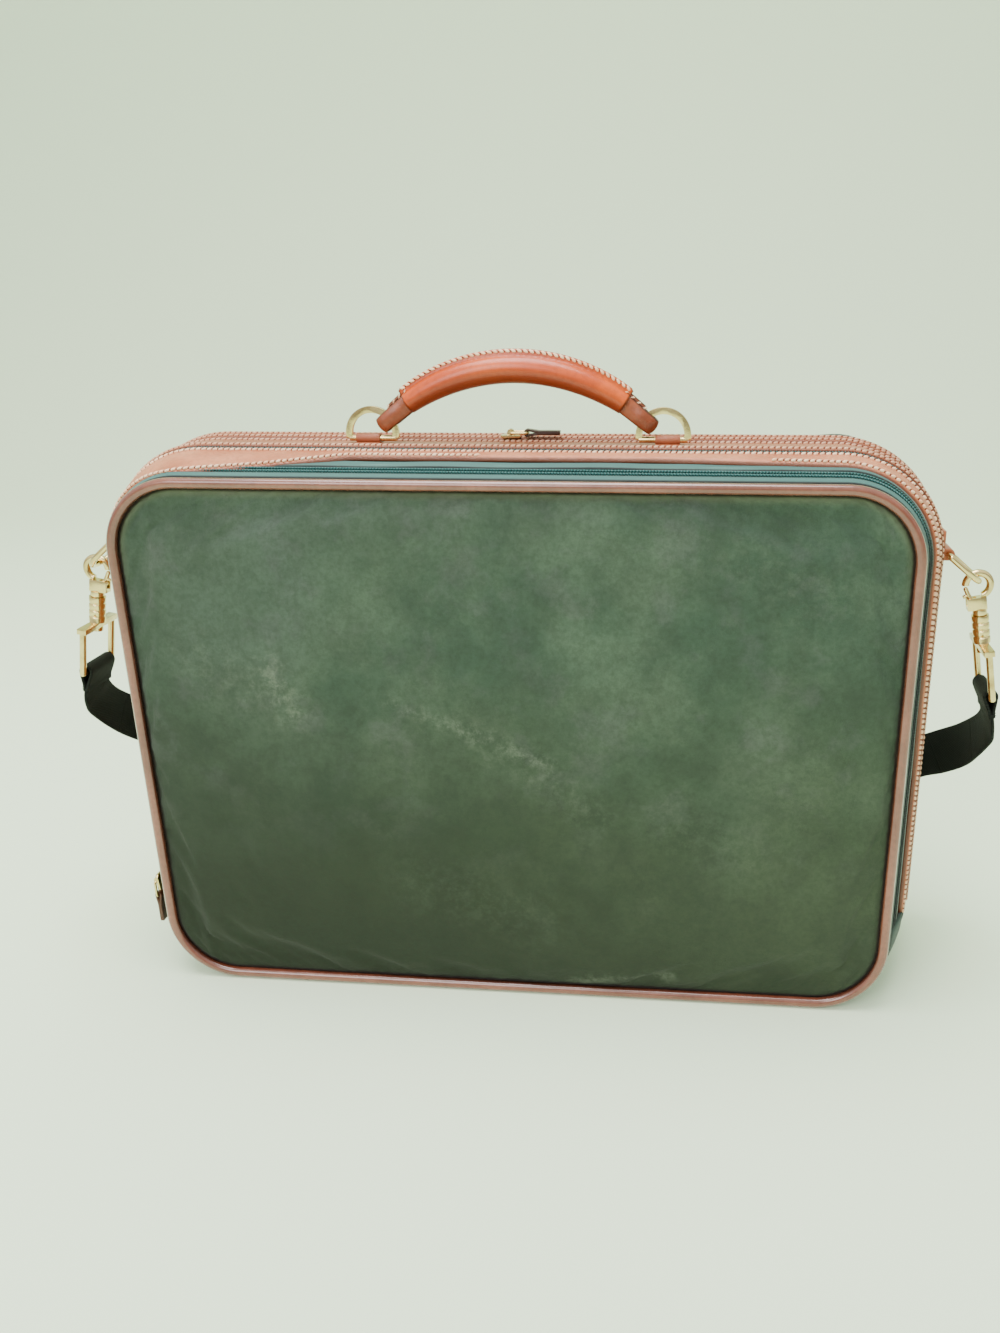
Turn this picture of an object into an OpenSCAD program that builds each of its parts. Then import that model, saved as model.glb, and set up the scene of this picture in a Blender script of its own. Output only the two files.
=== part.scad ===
// A soft laptop bag: three zipped sections between a front and a back panel, a rolled
// handle on two rings, and a shoulder strap that is hooked to a ring on each side.
// Millimetres. X is the width, Y runs from front to back, Z is up, and Z = 0 is the rest plane.

/* [Body] */
// Width across the leather bands at their widest
body_w = 438; // [420:1:460]
// Height of the bands above the rest plane at their highest
body_h = 299.5; // [280:0.5:330]
// Upper corner radius of the bands
body_r = 57; // [45:1:70]
// Lower corner radius of the bands
low_r = 42; // [36:1:44]
// Depth from the front of the front piping to the back of the back piping
body_d = 105; // [100:1:125]

/* [Panels] */
// Width of the front panel, across its piping
panel_w = 402; // [370:1:410]
// Height of the top of the front piping above the rest plane
panel_h = 287.5; // [260:0.5:292]
// Corner radius of the piping
panel_r = 39; // [34:1:44]
// Thickness of a stiffened panel
panel_t = 3; // [2:0.5:4]
// Padding that stands in front of a panel
padding = 1.6; // [1:0.2:2.4]
// Radius of the leather piping
piping_r = 3.2; // [2.6:0.1:4]

/* [Bands and zips] */
// Width of the middle leather band
band_w = 22; // [20:0.5:26]
// Width of each narrow leather strip beside it
strip_w = 10.5; // [9:0.5:12]
// Gap between two leather edges, where the teeth show
slot_w = 2.5; // [2.3:0.1:3]
// Width of the tape of each half of a zip
tape_w = 7; // [6:0.5:8]
// Thickness of the leather
leather_t = 1.8; // [1.4:0.1:2.2]
// Thickness of the coated fabric
fabric_t = 1.4; // [1:0.1:1.8]
// Height at which the zips end on both sides
zip_end = 46; // [45:1:70]
// Distance from the front of the bag to the middle of the pocket zip
pocket_zip = 15; // [14:0.5:17]

/* [Handle] */
// Distance between the middles of the two handle rings
ring_span = 150; // [140:1:170]
// Outer radius of a handle ring's arch
ring_ro = 14; // [13.5:0.1:16]
// Width of the flat brass that the arch is bent from
ring_flat = 3.4; // [3:0.1:4]
// Thickness of the flat brass
ring_t = 2.4; // [2:0.1:2.8]
// Radius of the straight bar of a handle ring
bar_r = 1.5; // [1.3:0.1:1.7]
// Height of the bar above the leather
bar_lift = 2.6; // [2.5:0.1:4]
// Radius of the rolled grip
grip_r = 7.2; // [6.5:0.1:9]
// Radius of the cord core inside the grip
core_r = 5; // [4:0.1:5.4]
// Length of the grip, end to end in a straight line
grip_l = 111; // [104:1:118]
// Rise of the grip from its ends to its middle
grip_rise = 17; // [12:1:24]
// Height of the grip's ends above the leather
grip_lift = 20; // [18:0.5:28]
// Height of the stitched edge along the grip
spine_h = 3; // [2:0.2:4]
// Width of a handle loop
loop_w = 10.5; // [9:0.5:11]

/* [Strap fittings] */
// Distance of each side ring's pivot below the top of the bands
side_drop = 54.5; // [50:0.5:90]
// Inner width of a side ring, and of the eye that holds the strap
side_w = 26; // [26:1:32]
// Wire radius of a side ring
wire_r = 1.6; // [1.3:0.1:1.8]
// Length of the straight legs of a side ring
leg_l = 8; // [6:0.5:14]
// Angle at which each side ring leans out at rest
lean = 50; // [35:1:60]
// Angle at which each hook hangs at rest
hang = 10; // [5:1:15]
// Radius of the middle of the hook's bend
hook_r = 6.2; // [6:0.1:7]
// Radius of the hook's bar
hook_bar = 1.9; // [1.6:0.1:2]
// Length of the swivel barrel
barrel_l = 15; // [12:0.5:18]
// Height of the window of the strap eye
eye_h = 22; // [18:1:28]

/* [Strap] */
// Width of the webbing
strap_w = 25; // [20:1:25]
// Thickness of the webbing
strap_t = 1.8; // [1.4:0.1:2]
// Height of the lowest point of the hanging strap's middle line
strap_low = 34; // [25:1:80]

/* [Zip pulls] */
// Length of a zip slider
slider_l = 10; // [9:0.5:11]
// Width of a zip slider
slider_w = 8; // [7:0.2:8.4]
// Length of the wire bail on a slider
bail_l = 9; // [8:0.5:12]
// Length of the leather pull tab
tab_l = 17; // [12:1:24]

/* [Inside] */
// Thickness of the padded divider
divider_t = 5; // [3:0.5:7]
// Clear depth of the laptop sleeve
sleeve_d = 27; // [20:1:28]
// Height of the laptop sleeve
sleeve_h = 222; // [180:1:226]
// Outer width of the laptop sleeve
sleeve_w = 368; // [330:1:368]
// Thickness of the bottom board
board_t = 2.2; // [1.6:0.2:3]

/* [Hidden] */

// Colours
tan_leather = "#b5714a";
piping_leather = "#a5786a";
green_suede = "#55694f";
green_fabric = "#5c7f78";
green_tape = "#4f8a80";
brass = "#d9c68c";
dark_lining = "#39423a";
black_webbing = "#1b1d1b";
brown_leather = "#5a3218";

// Clearances
fit = 0.3;            // between pieces of the shell
seat = 0.05;          // between two pieces that lie on each other
running = 0.06;       // round a pin or bar
chain_gap = 0.45;     // half of the gap between two rows of teeth
tape_t = 1;           // thickness of a zip's tape

// Places along Y, from the front of the bag to its back
piping_y = body_d / 2 - piping_r;             // centre of each piping
gusset_edge = piping_y - piping_r - fit;      // edge of a gusset, next to the piping
pocket_y = pocket_zip - body_d / 2;           // middle of the pocket zip
zip_y = (band_w + slot_w) / 2;                // middle of each main zip
strip_in = band_w / 2 + slot_w;               // inner edge of a narrow strip
strip_out = strip_in + strip_w;               // outer edge of a narrow strip

// Share of the way from the front panel's outline to the outline of the bands.
// The bag is a little smaller at the front than at the back, and fullest behind the rear zip.
shares = [[-gusset_edge, 0], [pocket_y, 0.25], [-strip_out, 0.58], [-strip_in, 0.72],
    [-band_w / 2, 0.84], [band_w / 2, 0.84], [strip_in, 0.92], [strip_out, 1],
    [strip_out + 0.55 * (gusset_edge - strip_out), 0.92], [gusset_edge, 0.55]];
function share(y) = lookup(y, shares);
function half_at(y) = (panel_w + share(y) * (body_w - panel_w)) / 2;
function top_at(y) = panel_h + share(y) * (body_h - panel_h);

// An outline is a list of [x, z, normal x, normal z].
corner_n = 8;
function arc(cx, cz, r, a0, a1) = [for (i = [0 : corner_n])
    let (a = a0 + (a1 - a0) * i / corner_n) [cx + r * cos(a), cz + r * sin(a), cos(a), sin(a)]];
function over_top(w, h, r) = concat([[-w / 2, zip_end + fit, -1, 0]],
    arc(r - w / 2, h - r, r, 180, 90), arc(w / 2 - r, h - r, r, 90, 0),
    [[w / 2, zip_end + fit, 1, 0]]);
function under(w, r) = concat([[w / 2, zip_end, 1, 0]],
    arc(w / 2 - r, r, r, 0, -90), arc(r - w / 2, r, r, -90, -180),
    [[-w / 2, zip_end, -1, 0]]);
function around(w, h, r, rl) = concat(
    arc(r - w / 2, h - r, r, 180, 90), arc(w / 2 - r, h - r, r, 90, 0),
    arc(w / 2 - rl, rl, rl, 0, -90), arc(rl - w / 2, rl, rl, -90, -180));

// A route pairs the outline of the front panel with the outline of the bands.
top_route = [over_top(panel_w, panel_h, panel_r), over_top(body_w, body_h, body_r)];
low_route = [under(panel_w, panel_r), under(body_w, low_r)];
full_route = [around(panel_w, panel_h, panel_r, panel_r), around(body_w, body_h, body_r, low_r)];

// A point of a section is [y, inset]. The share at y says how far out its outline lies.
function section_point(route, i, p) =
    let (s = route[0][i] + (route[1][i] - route[0][i]) * share(p[0]))
    [s[0] - p[1] * s[2], p[0], s[1] - p[1] * s[3]];

// Sweeps a section along a route. The section runs clockwise, with y to the right and inset up.
module sweep(route, section, closed = false) {
    n = len(route[0]);
    m = len(section);
    points = [for (i = [0 : n - 1]) for (p = section) section_point(route, i, p)];
    sides = [for (i = [0 : closed ? n - 1 : n - 2]) for (j = [0 : m - 1])
        let (k = (i + 1) % n, l = (j + 1) % m)
        each [[i * m + j, k * m + l, k * m + j], [i * m + j, i * m + l, k * m + l]]];
    caps = [[for (j = [m - 1 : -1 : 0]) j], [for (j = [0 : m - 1]) (n - 1) * m + j]];
    polyhedron(points, faces = closed ? sides : concat(sides, caps));
}

// A flat piece of leather or fabric between y0 and y1, which follows the crown of the bag.
function stops(y0, y1) = concat([y0],
    [for (s = shares) if (s[0] > y0 + 0.5 && s[0] < y1 - 0.5) s[0]], [y1]);
function skin_section(y0, y1, t) = let (ys = stops(y0, y1), n = len(ys))
    concat([for (y = ys) [y, 0]], [for (i = [n - 1 : -1 : 0]) [ys[i], t]]);

// Half of a zip: a tape under the skin, and a raised row of teeth at its edge.
// side is 1 where the tape runs towards the back, and -1 where it runs to the front.
function tape_section(y, side, row_w, width, row_top, tape_top) =
    let (y0 = y + side * chain_gap, y1 = y0 + side * row_w, y2 = y + side * width,
        s = [[y0, row_top], [y1, row_top], [y1, tape_top], [y2, tape_top],
            [y2, tape_top + tape_t], [y0, tape_top + tape_t]])
    side > 0 ? s : [for (i = [len(s) - 1 : -1 : 0]) s[i]];

// The outline of the bag at a given share, set in by inset.
module outline(k, inset, fn = 96) {
    w = panel_w + k * (body_w - panel_w);
    h = panel_h + k * (body_h - panel_h);
    rt = panel_r + k * (body_r - panel_r);
    rl = panel_r + k * (low_r - panel_r);
    hull() for (s = [-1, 1]) {
        translate([s * (w / 2 - rt), h - rt]) circle(rt - inset, $fn = fn);
        translate([s * (w / 2 - rl), rl]) circle(rl - inset, $fn = fn);
    }
}

// A sheet in the plane of the panels, between y0 and y1.
module sheet(y0, y1) {
    translate([0, y1, 0]) rotate([90, 0, 0]) linear_extrude(y1 - y0) children();
}

// The right-hand piece is the mirror image of the left-hand one.
module on_side(s) {
    if (s > 0) mirror([1, 0, 0]) children();
    else children();
}

// Middle section, which stands on the rest plane

module bottom_tray() {
    color(green_fabric) sweep(low_route, skin_section(-gusset_edge, gusset_edge, fabric_t));
}

module base_board() {
    color(dark_lining) translate([-panel_w / 2 + panel_r + 10, 8 - gusset_edge, fabric_t + seat])
        cube([panel_w - 2 * panel_r - 20, 2 * gusset_edge - 16, board_t]);
}

module middle_band() {
    color(tan_leather) sweep(top_route, skin_section(-band_w / 2, band_w / 2, leather_t));
}

inner_floor = fabric_t + seat + board_t + fit;      // what stands on the bottom board

module divider() {
    color(dark_lining) sheet(-divider_t / 2, divider_t / 2) intersection() {
        outline(share(0), leather_t + fit);
        translate([-body_w, inner_floor]) square([2 * body_w, 2 * body_h]);
    }
}

sleeve_wall = 3;
sleeve_y = divider_t / 2 + fit;
sleeve_back = sleeve_y + sleeve_d + sleeve_wall;

module laptop_sleeve() {
    color(dark_lining) difference() {
        translate([-sleeve_w / 2, sleeve_y, inner_floor])
            cube([sleeve_w, sleeve_d + sleeve_wall, sleeve_h]);
        translate([sleeve_wall - sleeve_w / 2, sleeve_y - 1, inner_floor + sleeve_wall])
            cube([sleeve_w - 2 * sleeve_wall, sleeve_d + 1, sleeve_h]);
    }
}

latch_w = 25;         // strap over the top of the sleeve
latch_t = 1.5;
latch_rise = 12;
latch_l = 3 * latch_rise;

module sleeve_strap() {
    top = inner_floor + sleeve_h + latch_rise;
    color(black_webbing) translate([-latch_w / 2, 0, 0]) union() {
        for (y = [sleeve_y, sleeve_back + fit])
            translate([0, y, top - latch_l]) cube([latch_w, latch_t, latch_l]);
        translate([0, sleeve_y, top - latch_t])
            cube([latch_w, sleeve_back + fit + latch_t - sleeve_y, latch_t]);
    }
}

zip_top = leather_t + fit;
zip_row = slot_w / 2 - chain_gap - fit;

module front_zip_rear_tape() {
    color(green_tape) sweep(top_route, tape_section(-zip_y, 1, zip_row, tape_w, tape_t, zip_top));
}
module rear_zip_front_tape() {
    color(green_tape) sweep(top_route, tape_section(zip_y, -1, zip_row, tape_w, tape_t, zip_top));
}

// Front section, which folds forward about the bottom front edge

module front_strip() {
    color(tan_leather) sweep(top_route, skin_section(-strip_out, -strip_in, leather_t));
}

pocket_edge = 4;      // distance from the middle of the pocket zip to the fabric beside it
pocket_tape = 2 * pocket_edge;
coil_w = 1.6;         // width of one half of the coil that shows there

module front_gusset() {
    color(green_fabric)
        sweep(top_route, skin_section(pocket_y + pocket_edge, -strip_out - seat, fabric_t));
}

partition_t = 2;
partition_y = pocket_y + pocket_tape + fit;

// Its lower part is narrower, so that it passes between the sides of the bottom tray.
module partition() {
    color(dark_lining) sheet(partition_y, partition_y + partition_t) {
        intersection() {
            outline(share(partition_y), fabric_t + fit);
            translate([-body_w, zip_end + 2]) square([2 * body_w, 2 * body_h]);
        }
        intersection() {
            outline(0, fabric_t + 2);
            translate([-body_w, inner_floor + 1]) square([2 * body_w, zip_end]);
        }
    }
}

pouch_w = 300;        // organizer pockets, side by side on the partition
pouch_h = 140;
pouch_d = 9;
pouch_wall = 1.2;

module organizer_pocket() {
    translate([-pouch_w / 2, partition_y + partition_t + fit, zip_end + 14])
        color(dark_lining) difference() {
            cube([pouch_w, pouch_d, pouch_h]);
            for (x = [pouch_wall, (pouch_w + pouch_wall) / 2]) translate([x, -1, pouch_wall])
                cube([pouch_w / 2 - 1.5 * pouch_wall, pouch_d + 1 - pouch_wall, pouch_h]);
        }
}

module front_zip_front_tape() {
    color(green_tape) sweep(top_route, tape_section(-zip_y, -1, zip_row, tape_w, tape_t, zip_top));
}
module pocket_zip_rear_tape() {
    color(green_tape) sweep(top_route,
        tape_section(pocket_y, 1, coil_w, pocket_tape, tape_t / 2, fabric_t + fit));
}

// Pocket flap: the front panel with its piping and half of the pocket's gusset

// A padded panel stands a little proud of its edge.
module padded_panel(k) {
    back = panel_t - body_d / 2 + 2;
    hull() {
        sheet(back - panel_t, back) outline(k, 2 * piping_r + fit, 32);
        sheet(back - panel_t - 0.6 * padding, back) outline(k, 2 * piping_r + 5, 32);
        sheet(back - panel_t - padding, back) outline(k, 2 * piping_r + 16, 32);
    }
}

function piping_section(y) = [for (a = [0 : 40 : 320])
    [y - piping_r * cos(a), piping_r + piping_r * sin(a)]];

module front_panel() {
    color(green_suede) padded_panel(0);
}
module front_piping() {
    color(piping_leather) sweep(full_route, piping_section(-piping_y), closed = true);
}
module pocket_gusset() {
    color(green_fabric)
        sweep(top_route, skin_section(-gusset_edge, pocket_y - pocket_edge, fabric_t));
}
module pocket_zip_front_tape() {
    color(green_tape) sweep(top_route,
        tape_section(pocket_y, -1, coil_w, pocket_tape, tape_t / 2, fabric_t + fit));
}

// Rear section, which folds back about the bottom rear edge

module rear_strip() {
    color(tan_leather) sweep(top_route, skin_section(strip_in, strip_out, leather_t));
}
module rear_gusset() {
    color(green_fabric) sweep(top_route, skin_section(strip_out + seat, gusset_edge, fabric_t));
}
module back_panel() {
    color(green_suede) mirror([0, 1, 0]) padded_panel(share(gusset_edge));
}
module back_piping() {
    color(piping_leather) sweep(full_route, piping_section(piping_y), closed = true);
}
module rear_zip_rear_tape() {
    color(green_tape) sweep(top_route, tape_section(zip_y, 1, zip_row, tape_w, tape_t, zip_top));
}

// Handle. Each ring turns about its straight bar, which lies in a leather chape.

bar_z = top_at(0) + bar_lift;
ring_rise = 2.2;                         // from the bar to the centre of the arch
arch_z = bar_z + ring_rise;
grip_big = (grip_l * grip_l / 4 + grip_rise * grip_rise) / (2 * grip_rise);
grip_half = asin(grip_l / 2 / grip_big);
grip_centre = top_at(0) + grip_lift + grip_rise - grip_big;
loop_angle = atan2(ring_span / 2 - grip_l / 2, top_at(0) + grip_lift - arch_z);
loop_gap = 0.4;                          // between a loop and its ring
loop_t = 1.5;
loop_half = ring_t / 2 + loop_gap + loop_t;

tunnel_w = 12.5;      // the chape is sewn down in front of the bar and behind it
tunnel_d = 14;
tunnel_x = 2.25;      // its middle, outside the middle of the ring

module handle_chape() {
    chape_r = bar_lift - seat;
    color(tan_leather) translate([tunnel_x - tunnel_w / 2, 0, 0]) difference() {
        union() {
            translate([0, 0, bar_z]) rotate([0, 90, 0])
                cylinder(r = chape_r, h = tunnel_w, $fn = 48);
            translate([0, -tunnel_d / 2, top_at(0) + seat])
                cube([tunnel_w, tunnel_d, bar_lift - bar_r - 0.5]);
        }
        translate([-1, 0, bar_z]) rotate([0, 90, 0])
            cylinder(r = bar_r + running, h = tunnel_w + 2, $fn = 48);
    }
}

module handle_ring() {
    color(brass) union() {
        translate([ring_flat / 2 - ring_ro, 0, bar_z]) rotate([0, 90, 0])
            cylinder(r = bar_r, h = 2 * ring_ro - ring_flat, $fn = 48);
        translate([0, ring_t / 2, arch_z]) rotate([90, 0, 0]) linear_extrude(ring_t)
            difference() {
                union() {
                    circle(ring_ro, $fn = 96);
                    translate([-ring_ro, -ring_rise]) square([2 * ring_ro, ring_rise]);
                }
                circle(ring_ro - ring_flat, $fn = 96);
                translate([ring_flat - ring_ro, -ring_ro - ring_rise])
                    square([2 * (ring_ro - ring_flat), ring_ro + ring_rise]);
                translate([-2 * ring_ro, -2 * ring_ro - ring_rise])
                    square([4 * ring_ro, 2 * ring_ro]);
            }
    }
}

// A leather loop that goes round the arch of a ring and up into the end of the grip.
module handle_loop() {
    low = (bar_r + fit - ring_rise + loop_w / 2 * sin(loop_angle)) / cos(loop_angle);
    reach = norm([ring_span / 2 - grip_l / 2, top_at(0) + grip_lift - arch_z]);
    color(brown_leather) union() {
        translate([0, 0, arch_z]) rotate([0, -loop_angle, 0]) translate([-loop_w / 2, 0, 0])
            rotate([90, 0, 90]) linear_extrude(loop_w) difference() {
                union() {
                    translate([0, low + loop_half]) circle(loop_half, $fn = 48);
                    translate([-loop_half, low + loop_half])
                        square([2 * loop_half, reach - 2.6 - low - loop_half]);
                }
                translate([0, low + loop_half]) circle(loop_half - loop_t, $fn = 48);
                translate([loop_t - loop_half, low + loop_half])
                    square([2 * (loop_half - loop_t), ring_ro + 1 - low - loop_half]);
            }
        translate([-ring_span / 2, 0, grip_centre]) rotate([90, 0, 0])
            rotate([0, 0, 90 - grip_half - 2]) rotate_extrude(angle = 7, $fn = 180)
                translate([grip_big, 0]) circle(core_r, $fn = 48);
    }
}

module handle_chapes() {
    for (s = [1, -1]) on_side(-s) translate([ring_span / 2, 0, 0]) handle_chape();
}
module handle_rings() {
    for (s = [-1, 1]) translate([s * ring_span / 2, 0, 0]) handle_ring();
}
module handle_loops() {
    for (s = [1, -1]) on_side(-s) translate([ring_span / 2, 0, 0]) handle_loop();
}

// The leather is rolled round a cord, and its two edges are sewn together along the top.
module handle_grip() {
    color(tan_leather) translate([0, 0, grip_centre]) rotate([90, 0, 0])
        rotate([0, 0, 90 - grip_half]) rotate_extrude(angle = 2 * grip_half, $fn = 180)
            difference() {
                union() {
                    translate([grip_big, 0]) circle(grip_r, $fn = 64);
                    translate([grip_big, -1.3]) square([grip_r + spine_h, 2.6]);
                }
                translate([grip_big, 0]) circle(core_r + running, $fn = 64);
            }
}
module handle_core() {
    short = grip_half - 5.6;
    color(black_webbing) translate([0, 0, grip_centre]) rotate([90, 0, 0])
        rotate([0, 0, 90 - short]) rotate_extrude(angle = 2 * short, $fn = 180)
            translate([grip_big, 0]) circle(core_r, $fn = 48);
}

// Strap fittings, drawn for the left side

pad_t = 1.4;
side_z = body_h - side_drop;
side_x = max(half_at(0), half_at(side_w / 2 + 2 * wire_r)) + fit + wire_r; // to the ring's bar
chape_x = half_at(0) + seat;                      // back of the leather chape
chape_w = 15;
chape_l = 24;
ring_reach = leg_l + side_w / 2 + wire_r;         // from the bar to the middle of the arch
hook_drop = hook_r - hook_bar - wire_r - running; // from the ring's arch to the hook's centre
body_top = -6.5;                                  // heights on the hook, from its centre
body_low = -13;
collar_low = body_low - 3;
barrel_low = collar_low - fit - barrel_l;
window_top = barrel_low - 3;
eye_bar = window_top - eye_h - wire_r - 0.2;
fold_r = wire_r + 0.2 + loop_gap;                 // inside radius of the strap's fold
strap_tail = eye_bar - 12;
gate_x = 4;
gate_z = -8;

module side_chape() {
    color(tan_leather) difference() {
        union() {
            translate([-chape_x - pad_t, -chape_w / 2, side_z - chape_l / 2])
                cube([pad_t, chape_w, chape_l]);
            translate([-side_x, -chape_w / 2, side_z - wire_r - pad_t])
                cube([side_x - chape_x, chape_w, 2 * (wire_r + pad_t)]);
            translate([-side_x, -chape_w / 2, side_z]) rotate([-90, 0, 0])
                cylinder(r = wire_r + pad_t, h = chape_w, $fn = 48);
        }
        translate([-side_x, -chape_w, side_z]) rotate([-90, 0, 0])
            cylinder(r = wire_r + running, h = 2 * chape_w, $fn = 48);
    }
}

module side_ring() {
    a = side_w / 2 + wire_r;
    color(brass) translate([-side_x, 0, side_z]) rotate([0, lean, 0]) union() {
        translate([0, -a, 0]) rotate([-90, 0, 0]) cylinder(r = wire_r, h = 2 * a, $fn = 48);
        for (s = [-1, 1]) {
            translate([0, s * a, 0]) sphere(wire_r, $fn = 48);
            translate([0, s * a, -leg_l]) cylinder(r = wire_r, h = leg_l, $fn = 48);
        }
        translate([0, 0, -leg_l]) rotate([0, 90, 0]) rotate([0, 0, -90])
            rotate_extrude(angle = 180, $fn = 96) translate([a, 0]) circle(wire_r, $fn = 48);
    }
}

// Puts children at the hook's centre, with the hook hanging along -Z.
module at_hook() {
    translate([-side_x - ring_reach * sin(lean), 0, side_z - ring_reach * cos(lean)])
        rotate([0, hang, 0]) translate([0, 0, -hook_drop]) children();
}

module hook() {
    color(brass) at_hook() difference() {
        union() {
            rotate([90, 0, 0]) rotate([0, 0, 5]) rotate_extrude(angle = 250, $fn = 96)
                translate([hook_r, 0]) circle(hook_bar, $fn = 48);
            translate([-3.4, -2.7, body_low]) cube([9.6, 5.4, body_top - body_low]);
            translate([0, 0, collar_low]) cylinder(r = 3.7, h = body_low - collar_low, $fn = 64);
            translate([0, 0, window_top - fit - 2])
                cylinder(r = 1.8, h = body_low - window_top + 3, $fn = 48);
            translate([0, 0, window_top - fit - 2]) cylinder(r = 3, h = 2, $fn = 48);
        }
        difference() {
            translate([1.4, -1.5, gate_z - 2.6]) cube([8, 3, 20]);
            translate([gate_x, -3, gate_z]) rotate([-90, 0, 0]) cylinder(r = 0.8, h = 6, $fn = 32);
            rotate([90, 0, 0]) rotate([0, 0, 5]) rotate_extrude(angle = 250, $fn = 96)
                translate([hook_r, 0]) circle(hook_bar, $fn = 48);
        }
    }
}

module gate() {
    tip = [hook_r, -1.5];
    l = norm([tip[0] - gate_x, tip[1] - gate_z]);
    color(brass) at_hook() translate([gate_x, 0, gate_z])
        rotate([0, atan2(tip[0] - gate_x, tip[1] - gate_z), 0]) difference() {
            union() {
                translate([0, -1.2, 0]) rotate([-90, 0, 0]) cylinder(r = 1.8, h = 2.4, $fn = 48);
                cylinder(r = 1.15, h = l, $fn = 32);
                translate([0, 0, l]) sphere(1.15, $fn = 32);
                translate([0, 0, 3.4]) rotate([0, 90, 0]) cylinder(r = 0.9, h = 3, $fn = 32);
            }
            translate([0, -2, 0]) rotate([-90, 0, 0]) cylinder(r = 0.8 + running, h = 4, $fn = 32);
        }
}

module eye() {
    r = wire_r + 0.2;
    a = side_w / 2 + r;
    color(brass) at_hook() difference() {
        union() {
            translate([0, 0, barrel_low]) cylinder(r = 4.4, h = barrel_l, $fn = 64);
            translate([-2.6, -a - r, window_top]) cube([5.2, 2 * (a + r), barrel_low - window_top]);
            for (s = [-1, 1]) {
                translate([0, s * a, eye_bar]) cylinder(r = r, h = window_top - eye_bar, $fn = 48);
                translate([0, s * a, eye_bar]) sphere(r, $fn = 48);
            }
            translate([0, -a, eye_bar]) rotate([-90, 0, 0]) cylinder(r = r, h = 2 * a, $fn = 48);
        }
        translate([0, 0, window_top - 1]) cylinder(r = 1.8 + running, h = barrel_l + 5, $fn = 48);
        for (i = [1 : 3]) translate([0, 0, barrel_low + i * barrel_l / 4])
            rotate_extrude($fn = 64) translate([4.9, 0]) circle(0.9, $fn = 32);
    }
}

// The webbing goes round the eye's lower bar and is sewn to itself below it.
module strap_end() {
    color(black_webbing) at_hook() translate([0, strap_w / 2, 0]) rotate([90, 0, 0])
        linear_extrude(strap_w) difference() {
            union() {
                translate([0, eye_bar]) circle(fold_r + strap_t, $fn = 64);
                polygon([[-fold_r - strap_t, eye_bar], [-strap_t, strap_tail + 3],
                    [-strap_t, strap_tail], [strap_t, strap_tail], [strap_t, strap_tail + 3],
                    [fold_r + strap_t, eye_bar]]);
            }
            translate([0, eye_bar]) circle(fold_r, $fn = 64);
            polygon([[-fold_r, eye_bar], [0, strap_tail + 5], [fold_r, eye_bar]]);
        }
}

// Shoulder strap, which hangs behind the bag from eye to eye

tail_drop = hook_drop - strap_tail + 0.4;
tail_x = side_x + ring_reach * sin(lean) + tail_drop * sin(hang);
tail_z = side_z - ring_reach * cos(lean) - tail_drop * cos(hang);
strap_y = body_d / 2 + 10;

// Points of the left half from the eye to the middle, each with the direction of the width.
// along() runs straight down from the eye, and past() gives shares of the way to the middle.
function along(d) = [-tail_x - d * sin(hang), 0, tail_z - d * cos(hang), 0, 1, 0];
function past(x, y, z, width) =
    concat([-tail_x * (1 - x), strap_y * y, tail_z + (strap_low - tail_z) * z], width);
strap_half = [
    along(0), along(4), along(8),
    past(0.001, 0.08, 0.13, [0, 1, 0.15]),
    past(0.014, 0.28, 0.24, [0.25, 0.85, 0.4]),
    past(0.050, 0.58, 0.35, [0.5, 0.55, 0.6]),
    past(0.108, 0.91, 0.46, [0.6, 0.2, 0.75]),
    past(0.217, 1, 0.64, [0.58, 0, 0.8]),
    past(0.386, 1, 0.84, [0.4, 0, 0.9]),
    past(0.647, 1, 0.95, [0.15, 0, 1]),
    past(0.880, 1, 0.996, [0.04, 0, 1])
];
strap_route = concat(strap_half,
    [for (i = [len(strap_half) - 1 : -1 : 0]) let (p = strap_half[i])
        [-p[0], p[1], p[2], -p[3], p[4], p[5]]]);

// Catmull-Rom curve through the points of a route.
function blend_at(a, b, c, d, t) = 0.5 * (2 * b + (c - a) * t
    + (2 * a - 5 * b + 4 * c - d) * t * t + (3 * b - a - 3 * c + d) * t * t * t);
function smooth(p, steps) = let (n = len(p)) concat([for (i = [0 : n - 2]) for (j = [0 : steps - 1])
    blend_at(p[max(i - 1, 0)], p[i], p[i + 1], p[min(i + 2, n - 1)], j / steps)], [p[n - 1]]);

function unit(v) = v / norm(v);
function first(p) = [p[0], p[1], p[2]];
function last(p) = [p[3], p[4], p[5]];

module shoulder_strap() {
    line = smooth(strap_route, 3);
    n = len(line);
    points = [for (i = [0 : n - 1]) let (
            p = first(line[i]),
            t = unit(first(line[min(i + 1, n - 1)]) - first(line[max(i - 1, 0)])),
            u = unit(cross(t, last(line[i]))),
            w = cross(u, t))
        each [p - w * strap_w / 2 - u * strap_t / 2, p + w * strap_w / 2 - u * strap_t / 2,
            p + w * strap_w / 2 + u * strap_t / 2, p - w * strap_w / 2 + u * strap_t / 2]];
    sides = [for (i = [0 : n - 2]) for (j = [0 : 3]) let (l = (j + 1) % 4)
        each [[4 * i + j, 4 * i + l, 4 * i + 4 + l], [4 * i + j, 4 * i + 4 + l, 4 * i + 4 + j]]];
    color(black_webbing) polyhedron(points,
        faces = concat([[3, 2, 1, 0]], sides, [[for (j = [0 : 3]) 4 * (n - 1) + j]]));
}

// Zip sliders, drawn with the teeth along X, the outside up and the pull towards +X

plate_t = 1.4;
plate_in = 1;                        // thickness of the inner plate
plate_z = 0.6;                       // gap under the outer plate
pivot_z = plate_z + plate_t + 1.1;
bail_r = 0.75;
bail_half = 3.4;

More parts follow.
